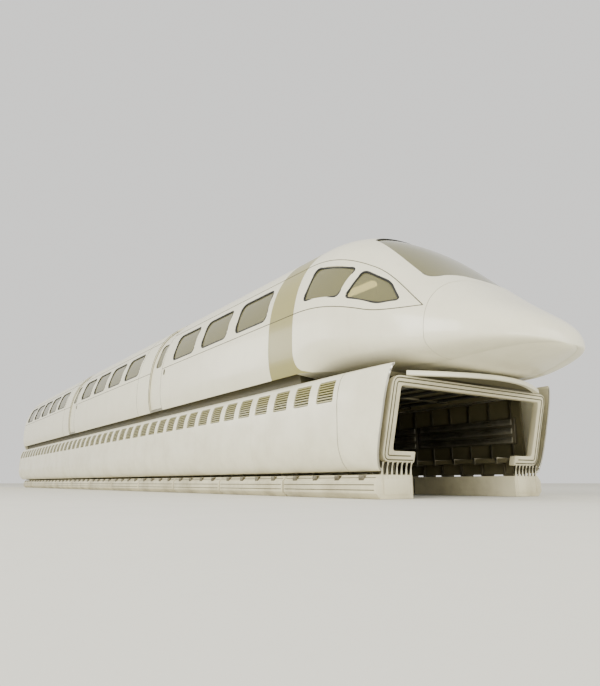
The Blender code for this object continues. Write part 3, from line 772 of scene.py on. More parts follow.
# %% Cab shell, cowl and their glass
PANE_REAR = [(9.62, 2.90), (10.42, 2.90), (10.62, 3.44), (9.74, 3.44)]
PANE_FRONT = [(10.56, 2.90), (11.12, 2.90), (11.42, 3.10), (11.22, 3.40), (10.76, 3.44)]
SHIELD = [(10.26, -0.27), (11.56, -0.45), (11.66, 0.0), (11.56, 0.45), (10.26, 0.27), (10.22, 0.0)]
CAB_WALL = 0.05
CAB_LINES = steps(X_NOSE, X_COWL, 44)
COWL_LINES = [X_COWL + (X_TIP - X_COWL) * math.sin(math.radians(a)) for a in steps(0, 90, 30)]


def build_cab():
    edge = [(stripe_edge(u) + PANEL_GAP, u) for u in RING]
    outline = edge + [(X_COWL - 0.004, SILL), (X_COWL - 0.004, -SILL)]
    panes = []
    for _, side in SIDES:
        for corners in (PANE_REAR, PANE_FRONT):
            panes.append(on_side(rounded(corners, 0.09), side))
    shield = rounded(SHIELD, 0.12)
    bent_panel("cab_skin", outline, [*panes, shield], CAB_LINES, RING, (0, CAB_WALL), CREAM, "cab_shell")
    glazed("cab_pane", panes, CAB_LINES, RING, {0: "cab_windows_right", 2: "cab_windows_left"})
    glazed("windshield_glass", [shield], CAB_LINES, RING, {0: "windshield"})
    seals = [*[bead(pane, 0.018, 0.012) for pane in panes], bead(shield, 0.013, 0.011)]
    joined("cab_window_seals", seals, RUBBER)


def skin_grid(bm, rows, turn=1):
    """Faces between rows of points; turn -1 makes them face the other way."""
    grid = [[bm.verts.new(point) for point in row] for row in rows]
    for near, far in zip(grid, grid[1:]):
        for j in range(len(near) - 1):
            bm.faces.new((near[j], far[j], far[j + 1], near[j + 1])[::turn])
    return grid


def build_cowl():
    """Two skins, and the outer one is closed at its tip by a fan of narrow faces."""
    bm = bmesh.new()
    grids = []
    for depth, turn in ((0, 1), (CAB_WALL, -1)):
        rows = [[on_skin(x, u, depth) for u in RING] for x in COWL_LINES[:-1]]
        grids.append(skin_grid(bm, rows, turn))
    last = grids[0][-1]
    for j in range(len(RING) // 2):
        tip = (last[j], last[j + 1], last[-2 - j], last[-1 - j])
        bm.faces.new(list(dict.fromkeys(tip)))
    bmesh.ops.recalc_face_normals(bm, faces=bm.faces)
    piece("nose_cowl_skin", bm, CREAM, node="nose_cowl", angle=50)


build_cab()
build_cowl()

# %% [markdown]
# ## Sliding doors and pockets
# Each leaf hangs 40 mm inside the outer skin and slides back into the pocket behind its blank panel. So
# the pocket is two skins with the slot between them, and nothing on the leaf stands out further than the
# slot.

# %% Doors
DOOR_LOW = level(1.85)
DOOR_HIGH = ROOF_EDGE + 0.0035
LEAF_DEPTHS = (0.04, 0.08)
LEAF_GLASS = (0.052, 0.060)


def build_door(name, hand, side, doorway):
    body, label = f"{name}_door_{hand}", f"{name}_{hand}"
    lines = signed([u for u in WALL_US if DOOR_HIGH < u < DOOR_LOW], side)
    outline = rectangle(doorway - 0.77, doorway - 0.006, side * DOOR_HIGH, side * DOOR_LOW)
    opening = on_side(rounded(box_outline(doorway - 0.37, 0.17, WINDOW_BOTTOM, WINDOW_TOP), 0.09), side)
    leaf, node = f"door_leaf_{label}", f"door_{label}"
    bent_panel(leaf, outline, [opening], (), lines, LEAF_DEPTHS, CREAM, node, body)
    pane = inset(opening, 0.002, 0.001)
    bent_panel(f"door_pane_{label}", pane, (), (), lines, LEAF_GLASS, GLASS, f"door_glass_{label}", body)
    tall = DOOR_LOW - DOOR_HIGH
    front_edge = [(doorway - 0.014, side * (DOOR_HIGH + tall * s)) for s in steps(0.01, 0.99, 24)]
    seals = [bead(opening, 0.007, 0.044), bead(front_edge, 0.006, 0.045, closed=False)]
    joined(f"door_seals_{label}", seals, RUBBER, body)
    grip = on_side(rounded(box_outline(doorway - 0.09, 0.018, 2.50, 2.74), 0.017), side)
    grips = [bent_solid(grip, lines, depths) for depths in ((0.036, 0.041), (0.079, 0.086))]
    joined(f"door_grips_{label}", grips, METAL, body)


def build_pocket(name, hand, side, doorway):
    lines = signed(WALL_US, side)
    front, back = doorway - DOOR_OPENING, doorway - DOOR_OPENING - POCKET_LENGTH
    front, back = front - PANEL_GAP, back + PANEL_GAP
    outline = rectangle(back, front, side * (ROOF_EDGE + 0.001), side * SILL)
    label = f"{name}_{hand}"
    bent_panel(f"pocket_skin_{label}", outline, (), (), lines, (0, 0.026), CREAM, f"door_pocket_{label}")
    inner = bent_solid(outline, lines, (0.096, 0.112))
    edge = rectangle(back, back + 0.02, side * (ROOF_EDGE + 0.001), side * SILL)
    web = bent_solid(edge, lines, (0.026, 0.096))
    joined(f"pocket_back_{label}", [inner, web], LINING)


def build_doorway(name, hand, side, doorway):
    """The step under the leaf and the push button beside it."""
    low = side * level(1.838)
    outline = rectangle(doorway - DOOR_OPENING + 0.003, doorway - 0.003, low, side * SILL)
    step = bent_solid(outline, signed([u for u in WALL_US if u > abs(low)], side), (0.002, 0.05))
    joined(f"door_step_{name}_{hand}", [step], METAL)
    button = rounded(box_outline(doorway + 0.16, 0.035, 2.58, 2.70), 0.03)
    outline = on_side(button, side)
    plate = bent_solid(outline, (), (-0.004, 0.01))
    ring = bead(outline, 0.004, -0.003)
    joined(f"door_button_{name}_{hand}", [plate, ring], SEAM)


for hand, side in SIDES:
    for name, doorway in zip(("front", "rear"), DOORWAYS):
        build_door(name, hand, side, doorway)
        build_pocket(name, hand, side, doorway)
        build_doorway(name, hand, side, doorway)

# %% [markdown]
# ## Gutter and belt lines
# Two thin beads run the length of the car above and below the windows. On the cab they close on each
# other and meet in a point ahead of the last pane, which draws the shape of a mask round the cab windows.

# %% Beads along the body
MASK_START = 10.90
MASK_POINT = 11.70
MASK_HEIGHT = 3.12


def cab_line(start_u, x):
    """The bead's u on the cab, moving from its own level to the shared point."""
    share = min(1.0, max(0.0, (x - MASK_START) / (MASK_POINT - MASK_START))) ** 2
    return start_u + (level(MASK_HEIGHT) - start_u) * share


def runs_between_doors(back, front, u):
    """Leaves the doorways free, since a bead across one would stop the leaf."""
    edges = [back] + [x for d in reversed(DOORWAYS) for x in (d - DOOR_OPENING, d)] + [front]
    return [[(start, u), (end, u)] for start, end in zip(edges[::2], edges[1::2])]


def door_seams(doorway):
    """Both edges of the opening and the far end of the pocket, where the skins meet."""
    opening_back = doorway - DOOR_OPENING
    return doorway + 0.004, opening_back - 0.006, opening_back - POCKET_LENGTH


def build_beads():
    parts = []
    for _, side in SIDES:
        for start_u in (GUTTER, BELT):
            back = runs_between_doors(X_BODY_TAIL + 0.01, X_STRIPE - 0.004, start_u)
            band = [(X_STRIPE + 0.004, start_u), (X_NOSE - 0.004, start_u)]
            front = [(x, cab_line(start_u, x)) for x in steps(X_NOSE + 0.004, MASK_POINT, 70)]
            for line in (*back, band, front):
                parts.append(bead([(x, side * u) for x, u in line], 0.008, 0.003, closed=False))
        for doorway in DOORWAYS:
            for x in door_seams(doorway):
                line = [(x, side * u) for u in steps(ROOF_EDGE + 0.012, SILL - 0.004, 24)]
                parts.append(bead(line, 0.006, 0.003, closed=False))
    return joined("body_beads", parts, SEAM)


build_beads()
print("the beads meet at x =", MASK_POINT)

# %% [markdown]
# ## Skirts
# The skirt's outline is measured along its curve, in metres, so a louvre keeps its true size when it is
# bent onto the shoulder. The front end cap draws in towards its end and leans back, as the CAD cap does.

# %% Surface of the skirts
X_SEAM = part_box("skirt_left")[1].x
END_CAP_LENGTH = 0.85
RAKE = 0.25
RAKE_TOP = 1.52
CAP_SQUEEZE = 0.80
SKIRT_FOOT = 1.60
SKIRT_SKIN = 0.028
LOUVRE_HALF_WIDTH = 0.19
LOUVRE_PITCH = 0.54


def skirt_line():
    """A quarter of an oval down to the widest part, and another inwards below it."""
    turn = steps(0, math.pi / 2, 40)
    shoulder = [Vector((1.64 + 0.21 * math.sin(a), 1.16 + 0.50 * math.cos(a))) for a in turn]
    return shoulder + [Vector((SKIRT_FOOT + 0.25 * math.cos(a), 0.80 - 0.46 * math.sin(a))) for a in turn]


SKIRT_LINE = skirt_line()
SKIRT_RUN = [0.0]
for near, far in zip(SKIRT_LINE, SKIRT_LINE[1:]):
    SKIRT_RUN.append(SKIRT_RUN[-1] + (far - near).length)
SKIRT_LENGTH = SKIRT_RUN[-1]


def skirt_section(run):
    """The point at this distance along the skirt's outline, and the direction out of it."""
    run = min(max(run, 0.0), SKIRT_LENGTH)
    k = 0
    while k < len(SKIRT_RUN) - 2 and SKIRT_RUN[k + 1] < run:
        k += 1
    near, far = SKIRT_LINE[k], SKIRT_LINE[k + 1]
    share = (run - SKIRT_RUN[k]) / (SKIRT_RUN[k + 1] - SKIRT_RUN[k])
    tangent = (far - near).normalized()
    return near.lerp(far, share), Vector((-tangent.y, tangent.x))


def on_skirt(x, v, depth=0.0):
    """A point of the skirt: v runs down it in metres, negative on the right side."""
    side = math.copysign(1, v)
    point, outward = skirt_section(abs(v))
    point = point - outward * depth
    share = min(1.0, max(0.0, (x - X_SEAM) / END_CAP_LENGTH))
    squeeze = math.sqrt(1 - CAP_SQUEEZE * share**2.2)
    y = SKIRT_FOOT + (point.x - SKIRT_FOOT) * squeeze
    return Vector((x - RAKE * share * (RAKE_TOP - point.y), side * y, point.y))


def run_at(height):
    """The distance along the skirt at which its upper curve comes down to a height."""
    return next(run for run, point in zip(SKIRT_RUN, SKIRT_LINE) if point.y <= height)


SKIRT_LINES = steps(0, SKIRT_LENGTH, 44)
LOUVRE_TOP, LOUVRE_FOOT = run_at(1.57), run_at(1.27)
SKIRT_SEAMS = [X_SEAM - 0.005] + [8.28 - 2.15 * i for i in range(10)] + [X_BODY_TAIL]
print("skirt runs", round(SKIRT_LENGTH, 3), "m round its section")

# %% Skirt panels, louvres and end caps
def louvre_places(front, back):
    """Centres of the louvres of one panel: four to a full panel, evenly spaced."""
    count = round((front - back) / LOUVRE_PITCH)
    return [back + (front - back) * (k + 0.5) / count for k in range(count)]


def build_skirt(hand, side):
    lines = signed(SKIRT_LINES, side)
    for number, (front, back) in enumerate(zip(SKIRT_SEAMS, SKIRT_SEAMS[1:])):
        ends = (back + PANEL_GAP, front - PANEL_GAP)
        outline = rectangle(*ends, side * 0.0005, side * SKIRT_LENGTH)
        holes = []
        for x in louvre_places(front, back):
            low, high = x - LOUVRE_HALF_WIDTH, x + LOUVRE_HALF_WIDTH
            holes.append(rounded(rectangle(low, high, side * LOUVRE_TOP, side * LOUVRE_FOOT), 0.03, 4))
        name = f"skirt_panel_{hand}_{number + 1}"
        node = None if number else f"skirt_{hand}"
        bent_panel(name, outline, holes, (), lines, (0, SKIRT_SKIN), CREAM, node, surface=on_skirt)


def build_louvres(hand, side):
    slats = []
    lines = signed([v for v in SKIRT_LINES if LOUVRE_TOP < v < LOUVRE_FOOT], side)
    for front, back in zip(SKIRT_SEAMS, SKIRT_SEAMS[1:]):
        for x in louvre_places(front, back):
            for v in steps(LOUVRE_TOP + 0.022, LOUVRE_FOOT - 0.022, 7):
                outline = rectangle(x - 0.188, x + 0.188, side * (v - 0.010), side * (v + 0.010))
                slats.append(bent_solid(outline, (), (0.004, 0.020), on_skirt))
    joined(f"louvre_slats_{hand}", slats, KHAKI, slot="body_paint")
    # Behind the slats lies a near-black sheet: painted shade that darkens the gaps between them.
    low, high = side * (LOUVRE_TOP - 0.02), side * (LOUVRE_FOOT + 0.02)
    outline = rectangle(X_BODY_TAIL + 0.05, X_SEAM - 0.05, low, high)
    back = bent_solid(outline, lines, (0.034, 0.038), on_skirt)
    joined(f"louvre_painted_shade_{hand}", [back], SHADE)


def build_end_cap(hand, side):
    outline = rectangle(X_SEAM + 0.006, X_SEAM + END_CAP_LENGTH, side * 0.0005, side * SKIRT_LENGTH)
    lines = steps(X_SEAM, X_SEAM + END_CAP_LENGTH, 24)
    rows = signed(SKIRT_LINES, side)
    name = f"end_cap_{hand}"
    bent_panel(name, outline, (), lines, rows, (0, 0.03), CREAM, f"skirt_{name}", surface=on_skirt)
    seam = [on_skirt(X_SEAM - 0.0005, side * v, 0.009) for v in steps(0.01, SKIRT_LENGTH - 0.01, 50)]
    joined(f"end_cap_seam_{hand}", [rod(seam, 0.0075)], SEAM)
    edge = [(X_SEAM + END_CAP_LENGTH - 0.004, side * v) for v in steps(0.03, SKIRT_LENGTH - 0.02, 50)]
    joined(f"end_cap_rim_{hand}", [rod([on_skirt(x, v, 0.012) for x, v in edge], 0.013)], METAL)


for hand, side in SIDES:
    build_skirt(hand, side)
    build_louvres(hand, side)
    build_end_cap(hand, side)

# %% [markdown]
# ## Levitation gear
# Below the skirts each side has a C-shaped frame that reaches under the edge of the guideway. Its ribs
# are separate plates on a thinner skin. Support magnets hang below it and guide magnets face inwards.

# %% Sections across the car
ARM_TIP = 1.04
FRAME_OUTLINE = [
    (1.56, 1.5195), (1.56, 0.44), (1.50, 0.301), (1.22, 0.301), (1.22, 0.48),
    (ARM_TIP, 0.48), (ARM_TIP, 0.58), (1.48, 0.58), (1.48, 1.5195),
]
FRAME_SKIN = [
    (1.548, 1.5195), (1.548, 0.45), (1.49, 0.325), (1.25, 0.325), (1.25, 0.50),
    (1.055, 0.50), (1.055, 0.562), (1.50, 0.562), (1.50, 1.5195),
]
MAGNET_OUTLINE = [(1.06, 0.0), (1.62, 0.0), (1.70, 0.07), (1.70, 0.22), (1.63, 0.298), (1.06, 0.298)]
MAGNET_CORE = [(1.09, 0.03), (1.60, 0.03), (1.67, 0.09), (1.67, 0.20), (1.61, 0.27), (1.09, 0.27)]
MAGNET_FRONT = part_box("support_magnets_right")[1].x
MAGNET_PITCH = 2.11
MAGNET_LENGTH = MAGNET_PITCH - 0.04
MAGNETS = 11
MAGNET_STARTS = [MAGNET_FRONT - MAGNET_PITCH * i for i in range(MAGNETS)]
X_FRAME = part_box("levitation_frame_right")[1].x


def section_prism(outline, side, front, back, bevel=0.0):
    return prism([(side * y, z) for y, z in outline], "x", back, front, bevel)


def box_on(side, x, y, z, bevel=0.004):
    """A softened box from its spans along x, across and up, mirrored to its side."""
    ys = sorted((side * y[0], side * y[1]))
    return block((x[0], ys[0], z[0]), (x[1], ys[1], z[1]), bevel)


# %% Frames and magnets
def build_levitation_frame(hand, side):
    skin = section_prism(FRAME_SKIN, side, X_FRAME, X_BODY_TAIL)
    node = f"levitation_frame_{hand}"
    joined(f"frame_skin_{hand}", [skin], DARK, slot="underframe_paint", node=node)
    ribs = []
    for start in MAGNET_STARTS:
        for k in range(5):
            x = start - 0.28 - 0.42 * k
            if x - 0.04 > X_BODY_TAIL:
                ribs.append(section_prism(FRAME_OUTLINE, side, x, x - 0.045, 0.005))
    joined(f"frame_ribs_{hand}", ribs, STEEL, slot="underframe_paint")


def build_support_magnets(hand, side):
    boxes, fittings, grooves = [], [], []
    for start in MAGNET_STARTS:
        end = start - MAGNET_LENGTH
        boxes.append(section_prism(MAGNET_OUTLINE, side, start, end, 0.010))
        boxes.append(box_on(side, (start - 0.012, start + 0.006), (1.12, 1.56), (0.05, 0.25), 0.006))
        for k in range(4):
            x = start - 0.28 - 0.50 * k
            fittings.append(box_on(side, (x - 0.05, x + 0.05), (1.628, 1.695), (0.225, 0.292), 0.008))
        for y, z in ((1.701, 0.11), (1.701, 0.175), (1.664, 0.262)):
            line = [Vector((x, side * y, z)) for x in (start - 0.03, end + 0.03)]
            grooves.append(rod(line, 0.005, 6))
    node = f"support_magnets_{hand}"
    joined(f"magnet_casings_{hand}", boxes, CASING, slot="magnet_casing", node=node)
    joined(f"magnet_fittings_{hand}", fittings, STEEL)
    joined(f"magnet_grooves_{hand}", grooves, SEAM)
    # A near-black bar runs inside the casings from end to end: painted shade that shows in the gaps between
    # the magnets.
    core = section_prism(MAGNET_CORE, side, MAGNET_FRONT - 0.05, MAGNET_STARTS[-1] - MAGNET_LENGTH + 0.05)
    joined(f"magnet_gap_shade_{hand}", [core], SHADE)


def build_guide_magnets(hand, side):
    boxes, poles = [], []
    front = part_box("guide_magnets_right")[1].x
    for i in range(MAGNETS):
        start = front - MAGNET_PITCH * i
        end = start - MAGNET_LENGTH
        boxes.append(box_on(side, (end, start), (1.436, 1.4795), (0.80, 1.20), 0.006))
        for height in (0.86, 1.00, 1.14):
            tall = (height - 0.045, height + 0.045)
            poles.append(box_on(side, (end + 0.05, start - 0.05), (1.42, 1.437), tall, 0.005))
    joined(f"guide_casings_{hand}", boxes, STEEL, node=f"guide_magnets_{hand}")
    joined(f"guide_poles_{hand}", poles, METAL, slot="bare_metal")


for hand, side in SIDES:
    build_levitation_frame(hand, side)
    build_support_magnets(hand, side)
    build_guide_magnets(hand, side)
print(MAGNETS, "support magnets a side, one every", MAGNET_PITCH, "m")

# %% [markdown]
# ## Underframe and channel mouth
# The body stands on a flat frame whose two low ridges carry the landing skids. Cross beams and pipes line
# the roof of the channel. At the front a raked portal frames the mouth of the channel.

# %% Underframe
UNDER_TOP = 1.8595
UNDER_NOSE = 1.585
UNDER_OUTLINE = [(1.58, 1.52), (1.12, 1.52), (1.10, 1.452), (0.90, 1.452), (0.88, 1.52)]


def mirrored(half):
    """Half an outline across the car, and the same half on the other side."""
    return half + [(-y, z) for y, z in reversed(half)]


def build_underframe():
    """A loft along the car, which steps down ahead of the cabin to pass under the nose."""
    stations = (
        (X_BODY_TAIL, UNDER_TOP), (X_NOSE - 0.12, UNDER_TOP), (X_NOSE - 0.04, UNDER_NOSE),
        (X_CHANNEL - 0.16, UNDER_NOSE),
    )
    rings = [[Vector((x, y, z)) for y, z in mirrored([(1.58, top)] + UNDER_OUTLINE)] for x, top in stations]
    joined("underframe_block", [loft(rings)], DARK, slot="underframe_paint", node="underframe")
    beams, strips, pipes = [], [], []
    for x in [X_CHANNEL - 0.5 - 0.86 * i for i in range(28)]:
        beams.append(block((x - 0.05, -0.86, 1.475), (x + 0.05, 0.86, 1.523), 0.006))
        for _, side in SIDES:
            beams.append(box_on(side, (x - 0.05, x + 0.05), (1.13, 1.44), (1.475, 1.523), 0.006))
    for _, side in SIDES:
        for i in range(11):
            front = X_CHANNEL - 0.35 - 2.15 * i
            strips.append(box_on(side, (front - 2.10, front), (0.915, 1.085), (1.441, 1.456), 0.005))
        for y in (0.20, 0.27, 0.62):
            line = [Vector((x, side * y, 1.492)) for x in (X_BODY_TAIL + 0.05, X_CHANNEL - 0.3)]
            pipes.append(rod(line, 0.016 if y < 0.5 else 0.024, 10))
    joined("channel_beams", beams, STEEL)
    joined("skid_strips", strips, METAL, slot="bare_metal")
    joined("channel_pipes", pipes, RUBBER)


def leaned(bm):
    """Leans a part back towards its foot, as the channel mouth is."""
    for vert in bm.verts:
        vert.co.x -= RAKE * (RAKE_TOP - vert.co.z)
    return bm


def build_channel_mouth():
    outer = [(ARM_TIP, 0.45), (1.60, 0.45), (1.60, 1.519)]
    inner = [(1.44, 1.40), (1.44, 0.59), (ARM_TIP, 0.59)]
    radii = [0.02, *[0.14] * 4, 0.02, 0.02, *[0.05] * 4, 0.02]
    path = mirrored(outer) + [(-y, z) for y, z in reversed(inner)] + inner
    portal = leaned(prism(rounded(path, radii, 5), "x", X_CHANNEL - 0.11, X_CHANNEL - 0.012, 0.010))
    joined("mouth_frame", [portal], CASING, slot="bare_metal", node="channel_mouth")
    trims = []
    for gap in (0.030, 0.082):
        line = [(ARM_TIP + gap, 0.45 + gap), (1.60 - gap, 0.45 + gap), (1.60 - gap, 1.519 - gap)]
        bends = rounded(mirrored(line), [0, *[0.12 - gap] * 4, 0], 6)
        run = [Vector((X_CHANNEL - 0.013, y, z)) for y, z in dict.fromkeys(bends)]
        trims.append(leaned(rod(run, 0.008)))
    joined("mouth_trim", trims, SEAM)


def build_arm_ribs():
    """Curved ribs under the front of each arm. They sweep back and down to the first magnet."""
    start = Vector((X_CHANNEL - RAKE * 1.07 - 0.01, 0.452))
    end = Vector((MAGNET_FRONT + 0.005, 0.06))
    for hand, side in SIDES:
        ribs = []
        for k in range(7):
            y = 1.09 + 0.082 * k
            corner = Vector((start.x - 0.12, 0.16))
            front = [curve_point(start, corner, end, s) for s in steps(0, 1, 12)]
            outline = [tuple(p) for p in front] + [(end.x, 0.29), (end.x, 0.452)]
            ribs.append(prism(outline, "y", side * y - 0.014, side * y + 0.014, 0.004))
        joined(f"arm_ribs_{hand}", ribs, CASING)


build_underframe()
build_channel_mouth()
build_arm_ribs()
print("the channel opens at x =", round(X_CHANNEL, 3))

# %% Nose pan and front deflector
PAN_SKIN = 0.024


def build_nose_pan():
    rows = []
    for angle in steps(0, math.pi / 2, 60):
        x = X_NOSE + 0.01 + (X_TIP - 0.004 - X_NOSE - 0.01) * math.sin(angle)
        edge = skin_point(x, SILL).z
        half = skin_point(x, SILL).y - 0.003
        sag = 0.10 * math.sqrt(1 - nose_share(x) ** TIP_POWER)
        rows.append([Vector((x, s * half, edge - sag * (1 - s * s))) for s in steps(-1, 1, 24)])
    bm = bmesh.new()
    raised = [[p + Vector((0, 0, PAN_SKIN)) for p in row] for row in rows]
    grids = [skin_grid(bm, rows), skin_grid(bm, raised)]
    rim = list(zip(*grids))
    for low, high in (rim[0], rim[-1]):
        for j in range(24):
            bm.faces.new((low[j], low[j + 1], high[j + 1], high[j]))
    for (low, high), (far_low, far_high) in zip(rim, rim[1:]):
        for j in (0, -1):
            bm.faces.new((low[j], far_low[j], far_high[j], high[j]))
    bmesh.ops.recalc_face_normals(bm, faces=bm.faces)
    piece("nose_underside", bm, CREAM, node="nose_pan", angle=40)


def build_deflector():
    arc = [(X_CHANNEL + 0.01 + 0.42 * math.cos(s * math.pi / 2), s * 1.40) for s in steps(-1, 1, 40)]
    inner = [(x - 0.06, y * 0.96) for x, y in reversed(arc)]
    joined("front_shield", [prism(arc + inner, "z", 1.523, 1.585, 0.008)], CREAM, node="front_deflector")
    plate = [(x - 0.055, y * 0.958) for x, y in arc]
    joined("shield_plate", [prism(plate, "z", 1.548, 1.556)], DARK)


build_nose_pan()
build_deflector()

# %% [markdown]
# ## Inside the car
# The large windows show the cabin, so it is fitted out: lining with its own window openings, ceiling
# lamps, luggage racks, carpet and two double seats to a row. The seats follow the pitch of the CAD seats.

# %% Lining, floor and ceiling
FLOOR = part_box("cabin_floor")[1].z
BULKHEAD_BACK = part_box("cab_bulkhead")[0].x
RACK_HEIGHT = 3.60


def build_lining():
    for hand, side in SIDES:
        for label, front, back, centres in STRETCHES:
            lines = signed(WALL_US, side)
            low = level(FLOOR + 0.01)
            front_end = min(front, BULKHEAD_BACK) - 0.01
            outline = rectangle(back + 0.01, front_end, side * (ROOF_EDGE + 0.001), side * low)
            openings = [inset(window_outline(x, side), 0.012, 0.008) for x in centres]
            bent_panel(f"lining_{label}_{hand}", outline, openings, (), lines, (0.060, 0.066), LINING)
            rack = side * level(RACK_HEIGHT)
            ends = (back + 0.3, front_end - 0.3)
            line = [(x, rack) for x in ends]
            rails = [bead(line, 0.014, depth, closed=False) for depth in (0.10, 0.22, 0.34)]
            for x in steps(back + 0.35, front_end - 0.35, 5):
                rails.append(rod([on_skin(x, rack, depth) for depth in (0.07, 0.2, 0.36)], 0.010, 6))
            joined(f"luggage_rack_{label}_{hand}", rails, METAL)


def build_ceiling():
    us = [u for u in RING if abs(u) < ROOF_EDGE - 0.05]
    outline = rectangle(X_BODY_TAIL + 0.01, BULKHEAD_BACK - 0.01, us[0], us[-1])
    bent_panel("ceiling", outline, (), (), us, (0.070, 0.078), LINING)
    lamps = []
    for x in [BULKHEAD_BACK - 0.9 - 1.45 * i for i in range(14)]:
        for _, side in SIDES:
            corners = rounded(rectangle(x - 0.55, x + 0.55, side * 0.20, side * 0.27), 0.02, 3)
            lamps.append(bent_solid(corners, (), (0.080, 0.088)))
    joined("ceiling_lamps", lamps, LAMP)


def build_floor_deck():
    outline = [(X_BODY_TAIL, -1.60), (9.35, -1.60), (9.35, -1.30), (11.3, -1.20)]
    outline += [(x, -y) for x, y in reversed(outline)]
    joined("floor_deck", [prism(outline, "z", 1.8605, FLOOR - 0.004, 0.004)], LINING, node="cabin_floor")
    edge = BULKHEAD_BACK - 0.02
    carpet = rounded(rectangle(X_BODY_TAIL + 0.06, edge, -1.54, 1.54), 0.04)
    joined("aisle_carpet", [prism(carpet, "z", FLOOR - 0.004, FLOOR)], CARPET)


def build_bulkhead():
    x = BULKHEAD_BACK
    points = [on_skin(x, u, 0.066) for u in RING]
    outline = [(p.y, p.z) for p in points if p.z > FLOOR + 0.02]
    low = on_skin(x, level(FLOOR), 0.072).y
    outline = [(-low, FLOOR + 0.001)] + outline + [(low, FLOOR + 0.001)]
    doorway = rounded(rectangle(-0.38, 0.38, FLOOR + 0.04, 3.84), 0.06)
    joined("bulkhead_panel", [wall_across(outline, [doorway], x, x + 0.04)], LINING, node="cab_bulkhead")
    jamb = [Vector((x - 0.006, y, z)) for y, z in doorway]
    joined("bulkhead_frame", [tube(jamb, 0.016)], METAL)


def wall_across(outline, holes, back, front):
    """A flat wall across the car with openings, made as a panel bent onto a plane."""
    return bent_solid(outline, (), (front, back), lambda y, z, x: Vector((x, y, z)), holes)


build_lining()
build_ceiling()
build_floor_deck()
build_bulkhead()

# %% [markdown]
# ## Seats
# A cushion is a subdivided box pulled into a soft shape: rounded at the edges and crowned in the middle,
# with a little sag that differs from seat to seat. Piping runs round its edge. Hard shells and rails
# carry them.

# %% Cushions
SEAT_PITCH = 0.97
SEAT_WIDTH = 0.46
SEAT_LEAN = 0.17


def seat_rows():
    rows = []
    for centres in WINDOWS:
        front = centres[0] + WINDOW_WIDTH / 2 - 0.25
        back = max(centres[-1] - WINDOW_WIDTH / 2, X_TAIL + 1.35)
        count = int((front - back) / SEAT_PITCH)
        rows += [back + (front - back) * (i + 0.2) / count for i in range(count)]
    return sorted(rows)


ROWS = seat_rows()


def cushion(low, high, crown, axis, lean=0.0):
    """A soft pad in this box, crowned along one axis; a back leans with its height."""
    bm = bmesh.new()
    bmesh.ops.create_cube(bm, size=2)
    bmesh.ops.subdivide_edges(bm, edges=bm.edges[:], cuts=5, use_grid_fill=True)
    sag = random.uniform(0.85, 1.1)
    middle = [(a + b) / 2 for a, b in zip(low, high)]
    half = [(b - a) / 2 for a, b in zip(low, high)]
    others = [k for k in range(3) if k != axis]
    for vert in bm.verts:
        n = list(vert.co)
        rim = max(abs(n[others[0]]), abs(n[others[1]]))
        n[axis] *= 1 - 0.28 * rim**6
        for k in others:
            n[k] *= 1 - 0.06 * abs(vert.co[axis]) ** 4
        place = [m + h * c for m, h, c in zip(middle, half, n)]
        bulge = (1 - n[others[0]] ** 2) * (1 - n[others[1]] ** 2)
        place[axis] += crown * sag * bulge * (1 if vert.co[axis] > 0 else 0)
        place[0] -= lean * (place[2] - low[2])
        vert.co = Vector(place)
    return bm


def reclined(bm, lean):
    """Leans a seat back about the height where it meets the cushion."""
    for vert in bm.verts:
        vert.co.x -= lean * (vert.co.z - 2.40)
    return bm


def build_seats(hand, side):
    pads, backs, heads, shells, legs, piping = [], [], [], [], [], []
    for x in ROWS:
        for near in (0.53, 1.01):
            y0, y1 = sorted((side * near, side * (near + SEAT_WIDTH)))
            pads.append(cushion((x + 0.10, y0 + 0.02, 2.30), (x + 0.56, y1 - 0.02, 2.41), 0.012, 2))
            back = cushion((x + 0.04, y0 + 0.02, 2.40), (x + 0.14, y1 - 0.02, 2.92), 0.02, 0, SEAT_LEAN)
            backs.append(back)
            heads.append(cushion((x - 0.04, y0 + 0.08, 2.86), (x + 0.05, y1 - 0.08, 3.06), 0.015, 0, 0.10))
            shells.append(block((x + 0.12, y0, 2.25), (x + 0.53, y1, 2.30), 0.015))
            rest = block((x - 0.005, y0, 2.28), (x + 0.045, y1, 2.90), 0.02, 3)
            shells.append(reclined(rest, SEAT_LEAN))
            edge = rounded(rectangle(x + 0.11, x + 0.55, y0 + 0.03, y1 - 0.03), 0.05, 4)
            piping.append(tube([Vector((a, b, 2.385)) for a, b in edge], 0.006, 6))
        for y in (0.55, 1.0, 1.45):
            low, high = sorted((side * y - 0.02, side * y + 0.02))
            shells.append(block((x + 0.08, low, 2.52), (x + 0.44, high, 2.56), 0.012))
        for y in (0.70, 1.28):
            line = [Vector((x + dx, side * y, z)) for dx, z in ((0.14, 1.96), (0.22, 2.10), (0.26, 2.26))]
            legs.append(rod(line, 0.022))
    run = (ROWS[0] - 0.1, ROWS[-1] + 0.7)
    rail = [box_on(side, run, (y - 0.03, y + 0.03), (FLOOR, FLOOR + 0.016)) for y in (0.70, 1.28)]
    joined(f"seat_shells_{hand}", shells, PLASTIC, node=f"passenger_seats_{hand}")
    soft = (("seat_pads", pads, 0.8), ("seat_backs", backs, 0.75), ("seat_heads", heads, 0.7))
    for label, parts, fill in soft:
        joined(f"{label}_{hand}", parts, FABRIC, angle=60)
    joined(f"seat_piping_{hand}", piping, SEAM)
    joined(f"seat_legs_{hand}", legs + rail, METAL)


for hand, side in SIDES:
    build_seats(hand, side)

# %% [markdown]
# ## Driver's cab
# The desk slopes towards the driver and carries blank screens, levers and a row of keys.

# %% Desk and driver's seat
DESK_EDGE = 10.60
DESK_HEIGHT = 2.62
DESK_SLOPE = 0.12 / 0.38


